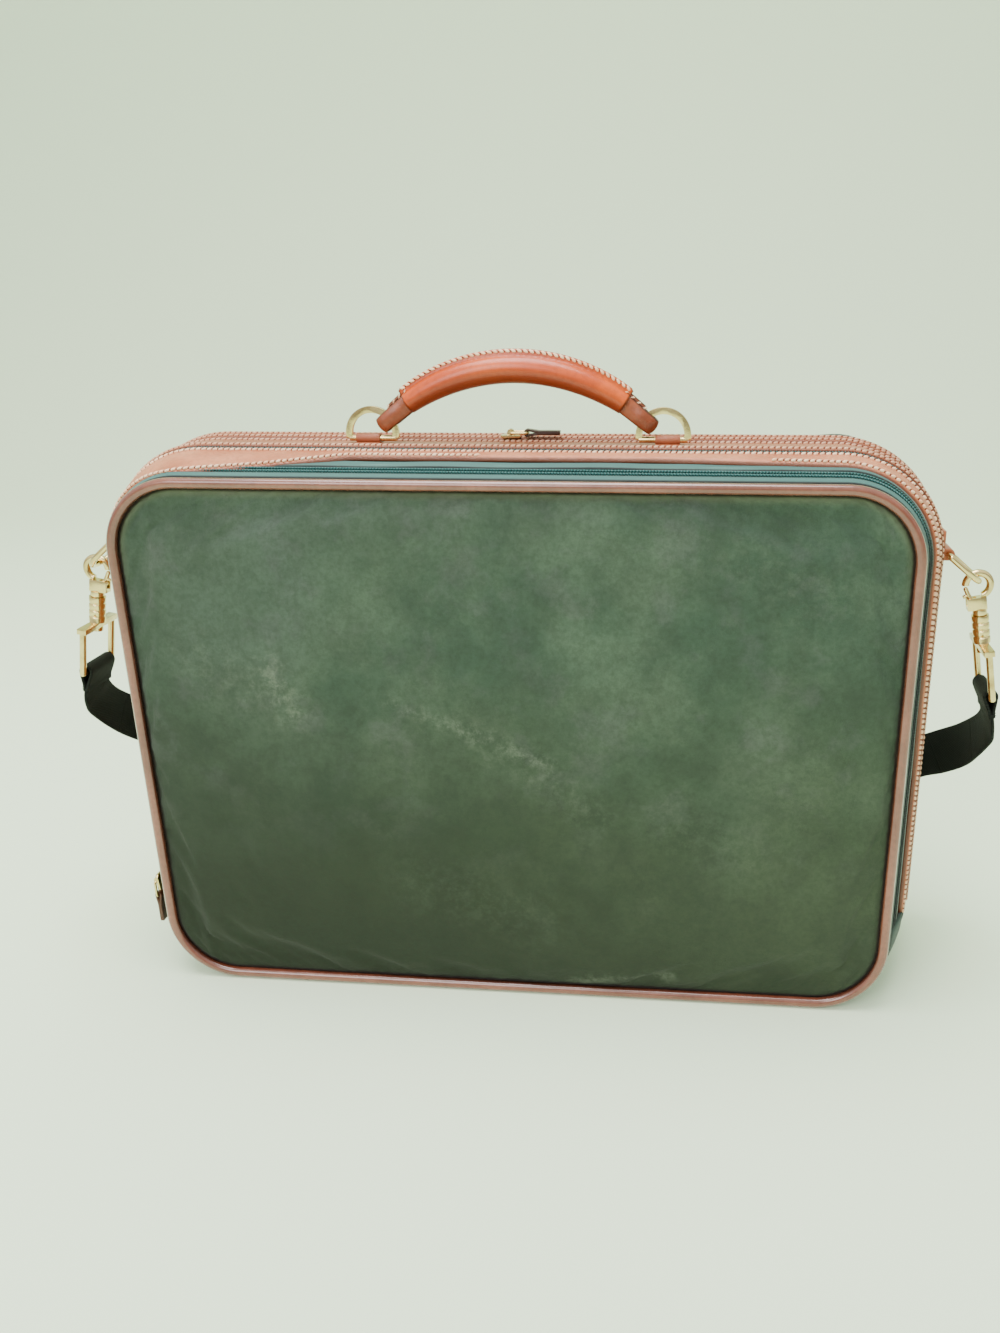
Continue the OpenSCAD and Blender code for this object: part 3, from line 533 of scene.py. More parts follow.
def flare(rows=ALL_ROUND):
    """How far the front edge of the front strip reaches forward at each row."""
    x, z = BODY_LINE[:, 0], BODY_LINE[:, 1]
    left = np.interp(x, (-0.219, -0.172, -0.123, -0.080), (0.015, 0.0195, 0.0115, 0))
    left = left * np.interp(z, (0.242, 0.262), (0, 1))
    right = np.interp(x, (0.07, 0.14, 0.200, 0.219), (0, 0.0035, 0.0065, 0.006))
    right = right * np.interp(z, (0.12, 0.235), (0, 1))
    return (left + right)[rows]


def strip_edge(y):
    """The front edge of the front strip where the plain one would lie at y."""
    return y - flare()


front_edge = -0.024
stations = [(strip_edge(front_edge), 0.0016), (strip_edge(front_edge + 0.0002), 0.0006),
            (strip_edge(front_edge + 0.0010), 0.0001)]
stations += [((1 - t) * strip_edge(front_edge) + t * -0.0135, -0.0003 * 4 * t * (1 - t))
             for t in np.linspace(0.1, 0.9, 8)]
stations += [(-0.0142, 0), (-0.0137, 0.0002), (-0.0135, 0.0005), (-0.0135, 0.0018),
             (strip_edge(front_edge), 0.0026)]
front_strip = keep("front_strip_leather", loft("front_strip_leather", stations), tan)
rear_strip = keep("rear_strip_leather", loft("rear_strip_leather",
                                             strip(0.0135, 0.024, 0.0018, 0.0003)), tan)
for piece, node, body, fold in ((front_strip, "front_strip", "front_section", FRONT_FOLD),
                                (rear_strip, "rear_strip", "rear_section", REAR_FOLD)):
    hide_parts(node)
    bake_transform(piece)
seam_y = strip_edge(-0.0222) + 0.0003
left_rows = OVER_TOP[:78]
right_rows = OVER_TOP[104:]
for name, y, rows, body, fold in (
        ("front_strip_stitches", -0.0156, OVER_TOP, "front_section", FRONT_FOLD),
        ("left_lap_stitches", seam_y, left_rows, "front_section", FRONT_FOLD),
        ("right_lap_stitches", seam_y, right_rows, "front_section", FRONT_FOLD),
        ("rear_strip_stitches", 0.0156, OVER_TOP, "rear_section", REAR_FOLD),
        ("rear_edge_stitches", 0.0220, OVER_TOP, "rear_section", REAR_FOLD)):
    seam = beads(name, *on_shell(y, -0.0002, rows), **STITCH)
    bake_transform(seam)

# Gussets
# Coated green fabric joins the strips to the piped edges. The front one ends at the pocket zip,
# and the rear one is fuller, and swells a little at the upper right corner.

stations = [(y, inset + 0.0008 + 0.0016 * (y + 0.0335) / 0.0095)
            for y, inset in strip(-0.0335, -0.02405, 0.0014)]
front_gusset = keep("front_gusset_fabric", loft("front_gusset_fabric", stations), gusset_cloth)
ruffle(front_gusset.data, 0.0005, 30, 3)
rear_gusset = keep("rear_gusset_fabric", loft("rear_gusset_fabric",
                                              strip(0.02405, 0.0458, 0.0014, sunk=0.0012)), gusset_cloth)
ruffle(rear_gusset.data, 0.0009, 22, 9)
swell = rear_gusset.data
for v in swell.vertices:
    if v.co.z > 0.2:
        near = math.exp(-((v.co.x - 0.168) / 0.016) ** 2) * math.exp(-((v.co.y - 0.036) / 0.008) ** 2)
        v.co.z += 0.0022 * near
        v.co.x += 0.0005 * near
for piece, node, body, fold in ((front_gusset, "front_gusset", "front_section", FRONT_FOLD),
                                (rear_gusset, "rear_gusset", "rear_section", REAR_FOLD)):
    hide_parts(node)
    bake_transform(piece)
POCKET_FOLD = ((0, -0.0415, 0.048), (0, -0.0458, 0.0482))
pocket_gusset = keep("pocket_gusset_fabric", loft("pocket_gusset_fabric",
                                                  strip(-0.0462, -0.0415, 0.0014), ALL_ROUND),
                     gusset_cloth)
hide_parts("pocket_gusset")
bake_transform(pocket_gusset)

# Zips
# Each zip is a coil of slanted teeth, dyed like its woven tape, which is sewn under the edges beside it.
# Its two halves lie on the two parts that it closes; one half is attached to its part, and the other is
# left loose.

tape_weave = Finish("zip_tape_weave", Roughness=0.8, Sheen_Weight=0.3)
ribs = tape_weave.sum("SINE", tape_weave.attribute("along") * 5200, 0)
tape_tone = tape_weave.mix(tape_weave.clouds(60, 4), tone(46, 98, 94), tone(76, 134, 128))
# Painted light: the tape is lighter along the top, where the light falls, and darker down the sides, in
# shade.
tape_lit_top = tape_weave.between(tape_weave.axes()[2], 0.245, 0.285)
tape_tone = tape_weave.mix(tape_lit_top, tone(24, 46, 42), tape_tone)
tape_weave.set("Base Color", tape_weave.mix(ribs * 0.15 + 0.15, tape_tone, tone(38, 66, 62)))
tape_weave.relief(ribs * 0.5 + tape_weave.clouds(1500, 2), 0.0002, 0.6)
coil = Finish("zip_coil", Roughness=0.45, Specular_IOR_Level=0.5)
# Painted light: the teeth are lighter along the top, where the light falls, and darker down the sides, in
# shade.
coil.set("Base Color", coil.mix(coil.between(coil.axes()[2], 0.245, 0.285),
                                tone(20, 36, 34), tone(38, 92, 90)))
coil.relief(coil.clouds(2200, 2), 0.0001, 0.4)

# Painted shade: a dark core laid under the teeth of each zip, and under the stitches at the strap's ends,
# stands in for the shadow between them.
coil_core_shade = Finish("zip_coil_core_shade", Roughness=0.7)
coil_core_shade.set("Base Color", coil_core_shade.mix(coil_core_shade.clouds(200), tone(14, 32, 32), tone(24, 48, 48)))

for name, y, way, width, depth, tooth, body, other, fold in (
        ("front_zip_rear_tape", -0.01225, 1, 0.0070, 0.0021, 0.0011, "root", None, None),
        ("rear_zip_front_tape", 0.01225, -1, 0.0070, 0.0021, 0.0011, "root", None, None),
        ("front_zip_front_tape", -0.01225, -1, 0.0070, 0.0021, 0.0011, "root", "front_section",
         FRONT_FOLD),
        ("rear_zip_rear_tape", 0.01225, 1, 0.0070, 0.0021, 0.0011, "root", "rear_section", REAR_FOLD),
        ("pocket_zip_rear_tape", -0.0375, 1, 0.0080, 0.0014, 0.0019, "front_section", None, None),
        ("pocket_zip_front_tape", -0.0375, -1, 0.0080, 0.0014, 0.0019, "front_section",
         "pocket_flap", POCKET_FOLD)):
    y0, y1 = sorted((y + way * 0.00035, y + way * width))
    tape = keep(name + "_weave", loft(name + "_weave", strip(y0, y1, 0.0008, sunk=depth)), tape_weave)
    points, outward = on_shell(y + way * (tooth * 0.55 + 0.00036), depth * 0.55, OVER_TOP)
    teeth = beads(name + "_teeth", points, outward, coil, 0.0015,
                  (tooth * 1.3, 0.0010, 0.0012), way * 0.9, coil_core_shade, 0.25)
    for piece in (tape, teeth):
        if other is None:
            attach(piece, body)
        else:
            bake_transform(piece)
    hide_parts(name)

# Piping
# A cord covered with smooth pink-brown leather runs round the edge of each panel. It is sewn
# between the panel and the gusset, and the cover is drawn tight over the cord.

pipe_hide = hide("piping_leather", tone(140, 80, 62), tone(108, 54, 38), 0.20, 0.1)
pipe_hide.shader.inputs["Coat Weight"].default_value = 1.0
pipe_hide.shader.inputs["Coat Roughness"].default_value = 0.18
cording = bpy.data.node_groups.new("cord_on_a_line", "GeometryNodeTree")
for label, kind in (("Geometry", "NodeSocketGeometry"), ("Radius", "NodeSocketFloat"),
                    ("Sides", "NodeSocketInt"), ("Finish", "NodeSocketMaterial")):
    cording.interface.new_socket(label, in_out="INPUT", socket_type=kind)
cording.interface.new_socket("Geometry", in_out="OUTPUT", socket_type="NodeSocketGeometry")
net = Net(cording)
given = {s.name: Wire(net, s) for s in cording.nodes.new("NodeGroupInput").outputs if s.name}
line = net.node("GeometryNodeMeshToCurve", None, {"Mesh": given["Geometry"]})
ring = net.node("GeometryNodeCurvePrimitiveCircle", {"mode": "RADIUS"},
                {"Resolution": given["Sides"], "Radius": given["Radius"]}, out="Curve")
tube = net.node("GeometryNodeCurveToMesh", None, {"Curve": line, "Profile Curve": ring,
                                                 "Fill Caps": True})
tube = net.node("GeometryNodeSetShadeSmooth", None, {"Geometry": tube})
tube = net.node("GeometryNodeRealizeInstances", None, {"Geometry": tube})
tube = net.node("GeometryNodeSetMaterial", None, {"Geometry": tube, "Material": given["Finish"]})
cording.links.new(tube.socket, cording.nodes.new("NodeGroupOutput").inputs[0])


def cord_on(name, points, radius, finish, closed=False, sides=14):
    """A round cord along a line of points."""
    n = len(points)
    mesh = bpy.data.meshes.new(name)
    edges = [(i, i + 1) for i in range(n - 1)] + ([(n - 1, 0)] if closed else [])
    mesh.from_pydata([tuple(p) for p in points], edges, [])
    made = finished(keep(name, mesh), cording, Radius=radius, Sides=sides, Finish=finish.material)
    mark = made.data.attributes.new("edge", "FLOAT", "POINT")
    mark.data.foreach_set("value", np.full(len(made.data.vertices), 0.01, np.float32))
    settle(made.data)
    return made


def without_doubles(points):
    kept = [points[0]]
    for p in points[1:]:
        if np.linalg.norm(p - kept[-1]) > 1e-5:
            kept.append(p)
    if np.linalg.norm(kept[0] - kept[-1]) < 1e-5:
        kept.pop()
    return np.array(kept)


PIPE_R = 0.0027
for name, y, body in (("front_piping", -0.0493, "pocket_flap"), ("back_piping", 0.0493, "rear_section")):
    core_line = without_doubles(on_shell(y, 0.0030, ALL_ROUND)[0])
    pipe = cord_on(name + "_leather", core_line, PIPE_R, pipe_hide, closed=True, sides=22)
    spots = np.array([v.co for v in pipe.data.vertices])
    near = np.array([np.argmin(((core_line - p) ** 2).sum(1)) for p in spots])
    inward = np.array((0, 0, 0.15)) - core_line[near]
    inward[:, 1] = 0
    inward /= np.linalg.norm(inward, axis=1)[:, None]
    away = (spots - core_line[near]) / PIPE_R
    # Painted shade: the edge mark darkens the cord where it turns in toward the panel and back into the
    # gusset, as the shade in the seams beside it.
    sunk = np.minimum(1.08 - (away * inward).sum(1), 1.0 + away[:, 1] * np.sign(y)) * 0.0022
    pipe.data.attributes["edge"].data.foreach_set("value", np.maximum(sunk, 0).astype(np.float32))
    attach(pipe, body)
    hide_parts(name)

# Panels
# A stiff foam board is covered with green suede-like fabric, which is drawn over its edge into
# the piping. It is a little full, so it puckers along the edge and holds old creases.

suede = Finish("green_suede", Roughness=0.8, Sheen_Weight=0.06, Sheen_Roughness=0.6,
               Specular_IOR_Level=0.2)
x, y, z = suede.axes()
ground = suede.mix(suede.between(suede.clouds(13, 6, rough=0.62), 0.36, 0.64),
                   tone(54, 73, 59), tone(78, 95, 78))
cool = suede.between(suede.clouds(6.5, 3), 0.5, 0.7) * suede.between(z, 0.10, 0.24)
ground = suede.mix(cool * 0.40, ground, tone(74, 88, 86))
olive = suede.between(suede.clouds(8, 4, rough=0.6) * 0.16 + z - x * 0.12, 0.29, 0.10)
ground = suede.mix(olive * 0.7, ground, tone(58, 67, 42))
marble = suede.between(suede.clouds(36, 8, rough=0.75), 0.40, 0.62)
ground = suede.mix(marble * 0.36, ground, tone(42, 50, 40))
worn_patch = suede.between(suede.clouds(24, 8, rough=0.72), 0.55, 0.70)
ground = suede.mix(worn_patch * 0.15, ground, tone(98, 110, 92))
shade = suede.between(z + x * 0.42, 0.23, -0.04)
ground = suede.mix(shade * 0.86, ground, tone(27, 33, 20))
# Painted shade: the fabric is darker towards the upper left.
painted_shade_upper_left = suede.between(z - x * 0.30, 0.20, 0.33)
ground = suede.mix(painted_shade_upper_left * 0.45, ground, tone(48, 60, 50))
tinged = suede.between(suede.clouds(48, 5, rough=0.6), 0.50, 0.66)
ground = suede.mix(tinged * suede.between(z, 0.06, 0.17) * 0.16, ground, tone(90, 86, 92))
scuffs = suede.between(suede.clouds(130, 7, rough=0.75), 0.42, 0.66)
ground = suede.mix(scuffs * suede.attribute("scuff") * 0.30, ground, tone(142, 152, 132))
nap = suede.clouds(340, 5, rough=0.7)
ground = suede.mix(suede.between(nap, 0.35, 0.7) * 0.35, ground, tone(34, 50, 34))
# Painted highlight: a lighter band along the top edge of the panel, where the nap catches the light.
painted_rim_highlight = suede.between(suede.attribute("edge"), 0.0, 0.007, 1.0, 0.0)
ground = suede.mix(painted_rim_highlight * suede.between(z, 0.22, 0.27) * 0.4, ground, tone(122, 124, 90))
# Painted shade: the fabric is darkened close to its edge, in the seam where it goes into the piping.
sunk = suede.between(suede.attribute("edge"), 0.0012, 0.0030, 0.95, 0.0)
ground = suede.mix(sunk, ground, tone(34, 22, 14))
suede.set("Base Color", ground)
suede.relief(nap * 0.6 + suede.clouds(1600, 2) * 0.4 + suede.clouds(45, 4) * 1.6, 0.0007, 0.5)


def panel_half(zc, inset, k):
    """Half the width of a panel at height zc, inside its outline."""
    w = (PANEL_W + k * (BODY_W - PANEL_W)) / 2 - inset
    top = PANEL_H + k * (BODY_H - PANEL_H) - inset
    for centre, radius in ((top + inset - (PANEL_R + k * (BODY_R - PANEL_R)),
                            PANEL_R + k * (BODY_R - PANEL_R) - inset),
                           (PANEL_R + k * (LOW_R - PANEL_R),
                            PANEL_R + k * (LOW_R - PANEL_R) - inset)):
        off = (zc - centre) if centre > 0.1 else (centre - zc)
        if off > 0:
            return w - radius + math.sqrt(max(radius ** 2 - off ** 2, 0))
    return w


def panel_sheet(inset, k, columns=150, lines=108):
    """A grid inside the outline of a panel, finer towards its edges."""
    top = PANEL_H + k * (BODY_H - PANEL_H) - inset
    ease = lambda t: t + 0.10 * math.sin(2 * math.pi * t) * -0.75
    rows = []
    for j in range(lines + 1):
        zc = inset + (top - inset) * ease(j / lines)
        half = panel_half(zc, inset, k)
        rows.append([(half * (2 * ease(i / columns) - 1), zc) for i in range(columns + 1)])
    return np.array(rows)


def depth_inside(x, z, inset, k):
    """The distance from a point of a panel to its edge."""
    w = (PANEL_W + k * (BODY_W - PANEL_W)) / 2 - inset
    top = PANEL_H + k * (BODY_H - PANEL_H) - inset
    upper = PANEL_R + k * (BODY_R - PANEL_R) - inset
    lower = PANEL_R + k * (LOW_R - PANEL_R) - inset
    r = upper if z > 0.14 else lower
    cx = w - r
    cz = top - r if z > 0.14 else inset + r
    dx = abs(x) - cx
    dz = (z - cz) if z > 0.14 else (cz - z)
    if dx > 0 and dz > 0:
        return r - math.hypot(dx, dz)
    return min(w - abs(x), top - z, z - inset)


def panel(name, k, side, seed, creases, scuffs):
    """A padded panel. side is -1 at the front and 1 at the back."""
    inset = 0.0046
    grid = panel_sheet(inset, k)
    lines, columns = grid.shape[:2]
    rim_y = side * 0.0470
    crown = []
    for x, z in grid.reshape(-1, 2):
        d = max(depth_inside(x, z, inset, k), 0)
        shoulder = 1 - math.exp(-(d / 0.0055))
        crown.append(0.0030 * shoulder + 0.0022 * min(d / 0.10, 1) ** 0.7)
    verts = [(x, rim_y + side * c, z) for (x, z), c in zip(grid.reshape(-1, 2), crown)]
    faces = [(j * columns + i, j * columns + i + 1, (j + 1) * columns + i + 1, (j + 1) * columns + i)
             for j in range(lines - 1) for i in range(columns - 1)]
    mesh = bpy.data.meshes.new(name)
    mesh.from_pydata(verts, [], faces)
    made = keep(name, mesh, suede)
    rest = np.array(verts)
    edge = np.array([depth_inside(x, z, inset, k) for x, z in grid.reshape(-1, 2)])
    pinned = made.vertex_groups.new(name="held")
    for i, d in enumerate(edge):
        pinned.add([i], max(0.0, 1 - max(d, 0) / 0.004) if d < 0.004 else 0.0, "REPLACE")
    cloth = made.modifiers.new("cloth", "CLOTH")
    cloth.settings.quality = 6
    cloth.settings.mass = 0.2
    cloth.settings.tension_stiffness = 12
    cloth.settings.compression_stiffness = 12
    cloth.settings.shear_stiffness = 6
    cloth.settings.bending_stiffness = 0.4
    cloth.settings.vertex_group_mass = "held"
    cloth.settings.shrink_min = -0.012
    cloth.settings.use_pressure = True
    cloth.settings.uniform_pressure_force = 0.4 * -side
    cloth.settings.effector_weights.gravity = 0
    scene = bpy.context.scene
    for step in range(1, 21):
        scene.frame_set(step)
    shaped = made.evaluated_get(bpy.context.evaluated_depsgraph_get())
    moved = np.array([v.co for v in shaped.data.vertices])
    made.modifiers.clear()
    scene.frame_set(1)
    rest += np.clip(moved - rest, -0.0022, 0.0022) * np.clip(edge / 0.003, 0, 1)[:, None]
    for i, p in enumerate(rest):
        v = Vector((p[0] * 21 + seed, p[2] * 21, seed))
        w = Vector((p[0] * 95 + seed, p[2] * 95, seed * 2))
        near_rim = math.exp(-max(edge[i], 0) / 0.012)
        lift = noise.noise(v) * 0.0007 + noise.noise(w) * 0.0008 * near_rim
        for (ax, az), (bx, bz), height, width in creases:
            dx, dz = bx - ax, bz - az
            t = ((p[0] - ax) * dx + (p[2] - az) * dz) / (dx * dx + dz * dz)
            if -0.2 < t < 1.2:
                off = ((p[0] - ax) * dz - (p[2] - az) * dx) / math.hypot(dx, dz)
                off += 0.002 * noise.noise(Vector((t * 4, seed, 0)))
                fade = max(0.0, math.sin(math.pi * min(max((t + 0.1) / 1.2, 0), 1)))
                lift += height * fade * math.exp(-(off / width) ** 2)
        p[1] += side * lift * min(max(edge[i], 0) / 0.004, 1)
    back = rest.copy()
    back[:, 1] = rim_y - side * 0.0008
    mark = np.concatenate((edge, edge)).astype(np.float32)
    worn = np.zeros(len(rest))
    for (ax, az), (bx, bz), strength, width in scuffs:
        away = np.array((bx - ax, bz - az))
        here = rest[:, (0, 2)] - (ax, az)
        t = np.clip(here @ away / (away @ away), 0, 1)
        worn += strength * np.exp(-((here - t[:, None] * away) ** 2).sum(1) / width ** 2)
    worn = np.concatenate((worn, worn)).astype(np.float32)
    n = len(rest)
    ring = [i for i in range(columns)] + [j * columns + columns - 1 for j in range(1, lines)]
    ring += [(lines - 1) * columns + i for i in range(columns - 2, -1, -1)]
    ring += [j * columns for j in range(lines - 2, 0, -1)]
    verts = np.concatenate((rest, back))
    faces += [tuple(n + i for i in reversed(f)) for f in faces]
    faces += [(ring[i], n + ring[i], n + ring[(i + 1) % len(ring)], ring[(i + 1) % len(ring)])
              for i in range(len(ring))]
    mesh = bpy.data.meshes.new(name)
    mesh.from_pydata([tuple(p) for p in verts], [], faces)
    mesh.attributes.new("edge", "FLOAT", "POINT").data.foreach_set("value", mark)
    mesh.attributes.new("scuff", "FLOAT", "POINT").data.foreach_set("value", worn)
    settle(mesh)
    made.data = mesh
    made.vertex_groups.clear()
    mesh.materials.append(suede.material)
    return made


front_panel = panel("front_panel_suede", 0.0, -1, 4.0, (
    ((-0.058, 0.172), (0.020, 0.140), 0.0009, 0.0030), ((0.020, 0.140), (0.052, 0.100), 0.0007, 0.004),
    ((-0.115, 0.195), (-0.100, 0.160), 0.0006, 0.005), ((0.010, 0.012), (0.090, 0.020), 0.0011, 0.006),
    ((0.175, 0.030), (0.165, 0.110), 0.0008, 0.007)), (
    ((-0.060, 0.175), (0.022, 0.143), 0.75, 0.0035), ((-0.020, 0.160), (0.045, 0.115), 0.35, 0.010),
    ((-0.122, 0.190), (-0.112, 0.168), 0.75, 0.010), ((-0.160, 0.198), (-0.135, 0.180), 0.35, 0.014),
    ((0.030, 0.010), (0.085, 0.016), 0.7, 0.004), ((0.120, 0.250), (0.150, 0.235), 0.25, 0.020),
    ((0.080, 0.115), (0.120, 0.095), 0.22, 0.018), ((-0.050, 0.070), (0.010, 0.050), 0.18, 0.018)))
back_panel = panel("back_panel_suede", float(share(0.0458)), 1, 8.0, (
    ((-0.090, 0.210), (-0.010, 0.170), 0.0008, 0.004), ((0.060, 0.060), (0.120, 0.110), 0.0008, 0.005)), (
    ((-0.095, 0.212), (-0.010, 0.170), 0.6, 0.004), ((0.055, 0.060), (0.120, 0.112), 0.4, 0.006)))
for piece, node, body in ((front_panel, "front_panel", "pocket_flap"),
                          (back_panel, "back_panel", "rear_section")):
    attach(piece, body)
    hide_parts(node)

# Handle chapes and rings
# Two flat brass rings turn on straight bars. Each bar lies in a tunnel of tan leather, which
# is sewn to the middle band in front of the bar and behind it.

brass = Finish("pale_brass", Metallic=1.0, Coat_Weight=0.15, Coat_Roughness=0.2)
worn = brass.between(brass.clouds(55, 5, rough=0.65), 0.45, 0.75)
brass.set("Base Color", brass.mix(worn * 0.7, tone(226, 202, 142), tone(146, 116, 68)))
brass.set("Roughness", brass.clouds(190, 4) * 0.25 + 0.06)
brass.relief(brass.clouds(260, 4) * 0.6 + brass.clouds(1500, 2) * 0.2, 0.0003, 0.35)


def tidied(node, finish, edge=0.0003, segments=2):
    """A smooth copy of a hard piece, with its corners broken."""
    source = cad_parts[node]
    work = bmesh.new()
    work.from_mesh(source.data)
    bmesh.ops.remove_doubles(work, verts=work.verts, dist=1e-6)
    bmesh.ops.dissolve_limit(work, angle_limit=math.radians(0.6), verts=work.verts, edges=work.edges)
    corners = [e for e in work.edges if len(e.link_faces) == 2 and e.calc_face_angle(0) > 0.6]
    if edge:
        bmesh.ops.bevel(work, geom=corners, offset=edge, segments=segments, profile=0.5,
                        affect="EDGES", clamp_overlap=True)
    bmesh.ops.recalc_face_normals(work, faces=work.faces)
    mesh = bpy.data.meshes.new(node + "_form")
    work.to_mesh(mesh)
    work.free()
    mesh.shade_smooth()
    work = bmesh.new()
    work.from_mesh(mesh)
    for e in work.edges:
        e.smooth = len(e.link_faces) != 2 or e.calc_face_angle(0) < 0.5
    work.to_mesh(mesh)
    work.free()
    made = keep(node + "_form", mesh, finish)
    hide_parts(node)
    return made


def marked(mesh, value=0.01):
    mark = mesh.attributes.get("edge") or mesh.attributes.new("edge", "FLOAT", "POINT")
    mark.data.foreach_set("value", np.full(len(mesh.vertices), value, np.float32))


chapes = tidied("handle_chapes", tan, 0.0004)
marked(chapes.data, 0.0012)
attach(chapes, "root")
rings = tidied("handle_rings", brass, 0.0005, 3)
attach(rings, "handle_rings")

# Handle loops
# A strip of red-brown leather goes round the flat of each ring, and its two ends are sewn
# together and run up into the grip.

russet = hide("russet_leather", tone(160, 80, 46), tone(108, 48, 25), 0.26, 0.2)
GRIP_R = (0.111 ** 2 / 4 + 0.017 ** 2) / (2 * 0.017)
GRIP_HALF = math.asin(0.111 / 2 / GRIP_R)
CROWN = 0.2875 + 0.84 * 0.012
GRIP_Z = CROWN + 0.020 + 0.017 - GRIP_R
ARCH_Z = CROWN + 0.0026 + 0.0022
LOOP_TURN = math.atan2(0.075 - 0.0555, CROWN + 0.020 - ARCH_Z)


def ribbon(name, path, widths, width, thick, finish, crown=0.0, taper=1.0):
    """A strip with rounded edges along a path, with its width along given directions."""
    path = np.asarray(path, float)
    n = len(path)
    tangents = np.gradient(path, axis=0)
    tangents /= np.linalg.norm(tangents, axis=1)[:, None]
    flats = np.cross(tangents, np.asarray(widths, float))
    flats /= np.linalg.norm(flats, axis=1)[:, None]
    sides = np.cross(flats, tangents) * np.broadcast_to(taper, (n,))[:, None]
    half_w, half_t, r = width / 2, thick / 2, thick * 0.42
    section = []
    for cx, cy, start in ((1, 1, 0), (-1, 1, 90), (-1, -1, 180), (1, -1, 270)):
        section += [(cx * (half_w - r) + r * math.cos(a), cy * (half_t - r) + r * math.sin(a))
                    for a in np.radians(start + np.linspace(0, 90, 4))]
        if cx == cy:
            section += [(cx * x, cy * half_t) for x in np.linspace(half_w - r, r - half_w, 10)[1:-1]]
    section = np.array(section)
    domed = section[:, 1] * crown > 0
    section[:, 1] += np.where(domed, crown * (1 - (section[:, 0] / half_w) ** 2), 0)
    m = len(section)
    points = path[:, None] + section[None, :, :1] * sides[:, None] + section[None, :, 1:] * flats[:, None]
    faces = [(i * m + j, i * m + (j + 1) % m, (i + 1) * m + (j + 1) % m, (i + 1) * m + j)
             for i in range(n - 1) for j in range(m)]
    faces += [tuple(range(m)), tuple((n - 1) * m + j for j in range(m))]
    mesh = bpy.data.meshes.new(name)
    mesh.from_pydata(points.reshape(-1, 3).tolist(), [], faces)
    along = np.concatenate(([0], np.cumsum(np.linalg.norm(np.diff(path, axis=0), axis=1))))
    for label, values in (("along", np.repeat(along, m)), ("over", np.tile(section[:, 0], n)),
                          ("edge", np.tile(half_w - np.abs(section[:, 0]), n))):
        mesh.attributes.new(label, "FLOAT", "POINT").data.foreach_set("value", values.astype(np.float32))
    settle(mesh)
    return keep(name, mesh, finish)


def loop_frame(side):
    climb = np.array((-side * math.sin(LOOP_TURN), 0, math.cos(LOOP_TURN)))
    wide = np.array((math.cos(LOOP_TURN), 0, side * math.sin(LOOP_TURN)))
    return np.array((side * 0.075, 0, ARCH_Z)), climb, wide


LOOP_LOW = (0.0015 + 0.0003 - 0.0022 + 0.00525 * math.sin(LOOP_TURN)) / math.cos(LOOP_TURN)
for side, label in ((-1, "left"), (1, "right")):
    start, climb, wide = loop_frame(side)
    reach = math.hypot(0.0195, CROWN + 0.020 - ARCH_Z) + 0.003
    half = [(reach, 0.0012), (reach - 0.004, 0.0012), (0.0195, 0.0014), (0.0172, 0.0019),
            (0.0152, 0.00235)]
    half += [(s, 0.00235) for s in np.linspace(0.013, LOOP_LOW + 0.0031, 5)]
    turn = [(LOOP_LOW + 0.0031 - 0.00235 * math.sin(a), 0.00235 * math.cos(a))
            for a in np.linspace(0, math.pi, 13)[1:-1]]
    route = half + turn + [(s, -y) for s, y in reversed(half)]
    path = [start + climb * s + np.array((0, 1, 0)) * y for s, y in route]
    taper = np.interp([s for s, y in route], (LOOP_LOW, reach), (0.80, 0.95))
    strap = ribbon("handle_loop_" + label, path, [wide] * len(path), 0.0105, 0.0015, russet, -0.0011,
                   taper)
    ridge_line = [start + climb * s + wide * side * 0.0057 * np.interp(s, (LOOP_LOW, reach), (0.8, 0.95))
                  for s in np.linspace(0.0158, reach, 12)]
    ridge = ribbon("handle_loop_ridge_" + label, ridge_line, [wide] * 12, 0.0022, 0.0023, russet)
    seam = beads("handle_loop_stitches_" + label,
                 [p + np.array((0, -0.0013, 0)) for p in ridge_line],
                 [(0, -1, 0)] * len(ridge_line), thread, 0.0030, (0.0028, 0.0011, 0.0008), 0.6)
    for piece in (strap, ridge, seam):
        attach(piece, "handle")
    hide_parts("handle_loops")

# Grip
# Tan leather is rolled round a cord and sewn to itself along the top with thick thread. The
# roll is thinner towards its ends, which are cut square and show their dark raw edge.

grip_hide = hide("grip_leather", tone(216, 90, 18), tone(184, 64, 10), 0.3, 0.1)
# Painted shade: the grip is darker round its underside, away from the light.
painted_underside_shade_and_rear_tint = grip_hide.between(grip_hide.attribute("under"), 0.30, 0.85)
grip_hide.set("Base Color", grip_hide.mix(painted_underside_shade_and_rear_tint * 0.85, grip_hide.body, tone(104, 34, 6)))
grip_hide.shader.inputs["Specular IOR Level"].default_value = 0.3
grip_hide.shader.inputs["Coat Weight"].default_value = 0.4
grip_hide.shader.inputs["Coat Roughness"].default_value = 0.28


def grip_radius(a):
    return 0.0069 - 0.0015 * (abs(a) / GRIP_HALF) ** 2.6


def on_grip(a, rho, y):
    return ((GRIP_R + rho) * math.sin(a), y, GRIP_Z + (GRIP_R + rho) * math.cos(a))


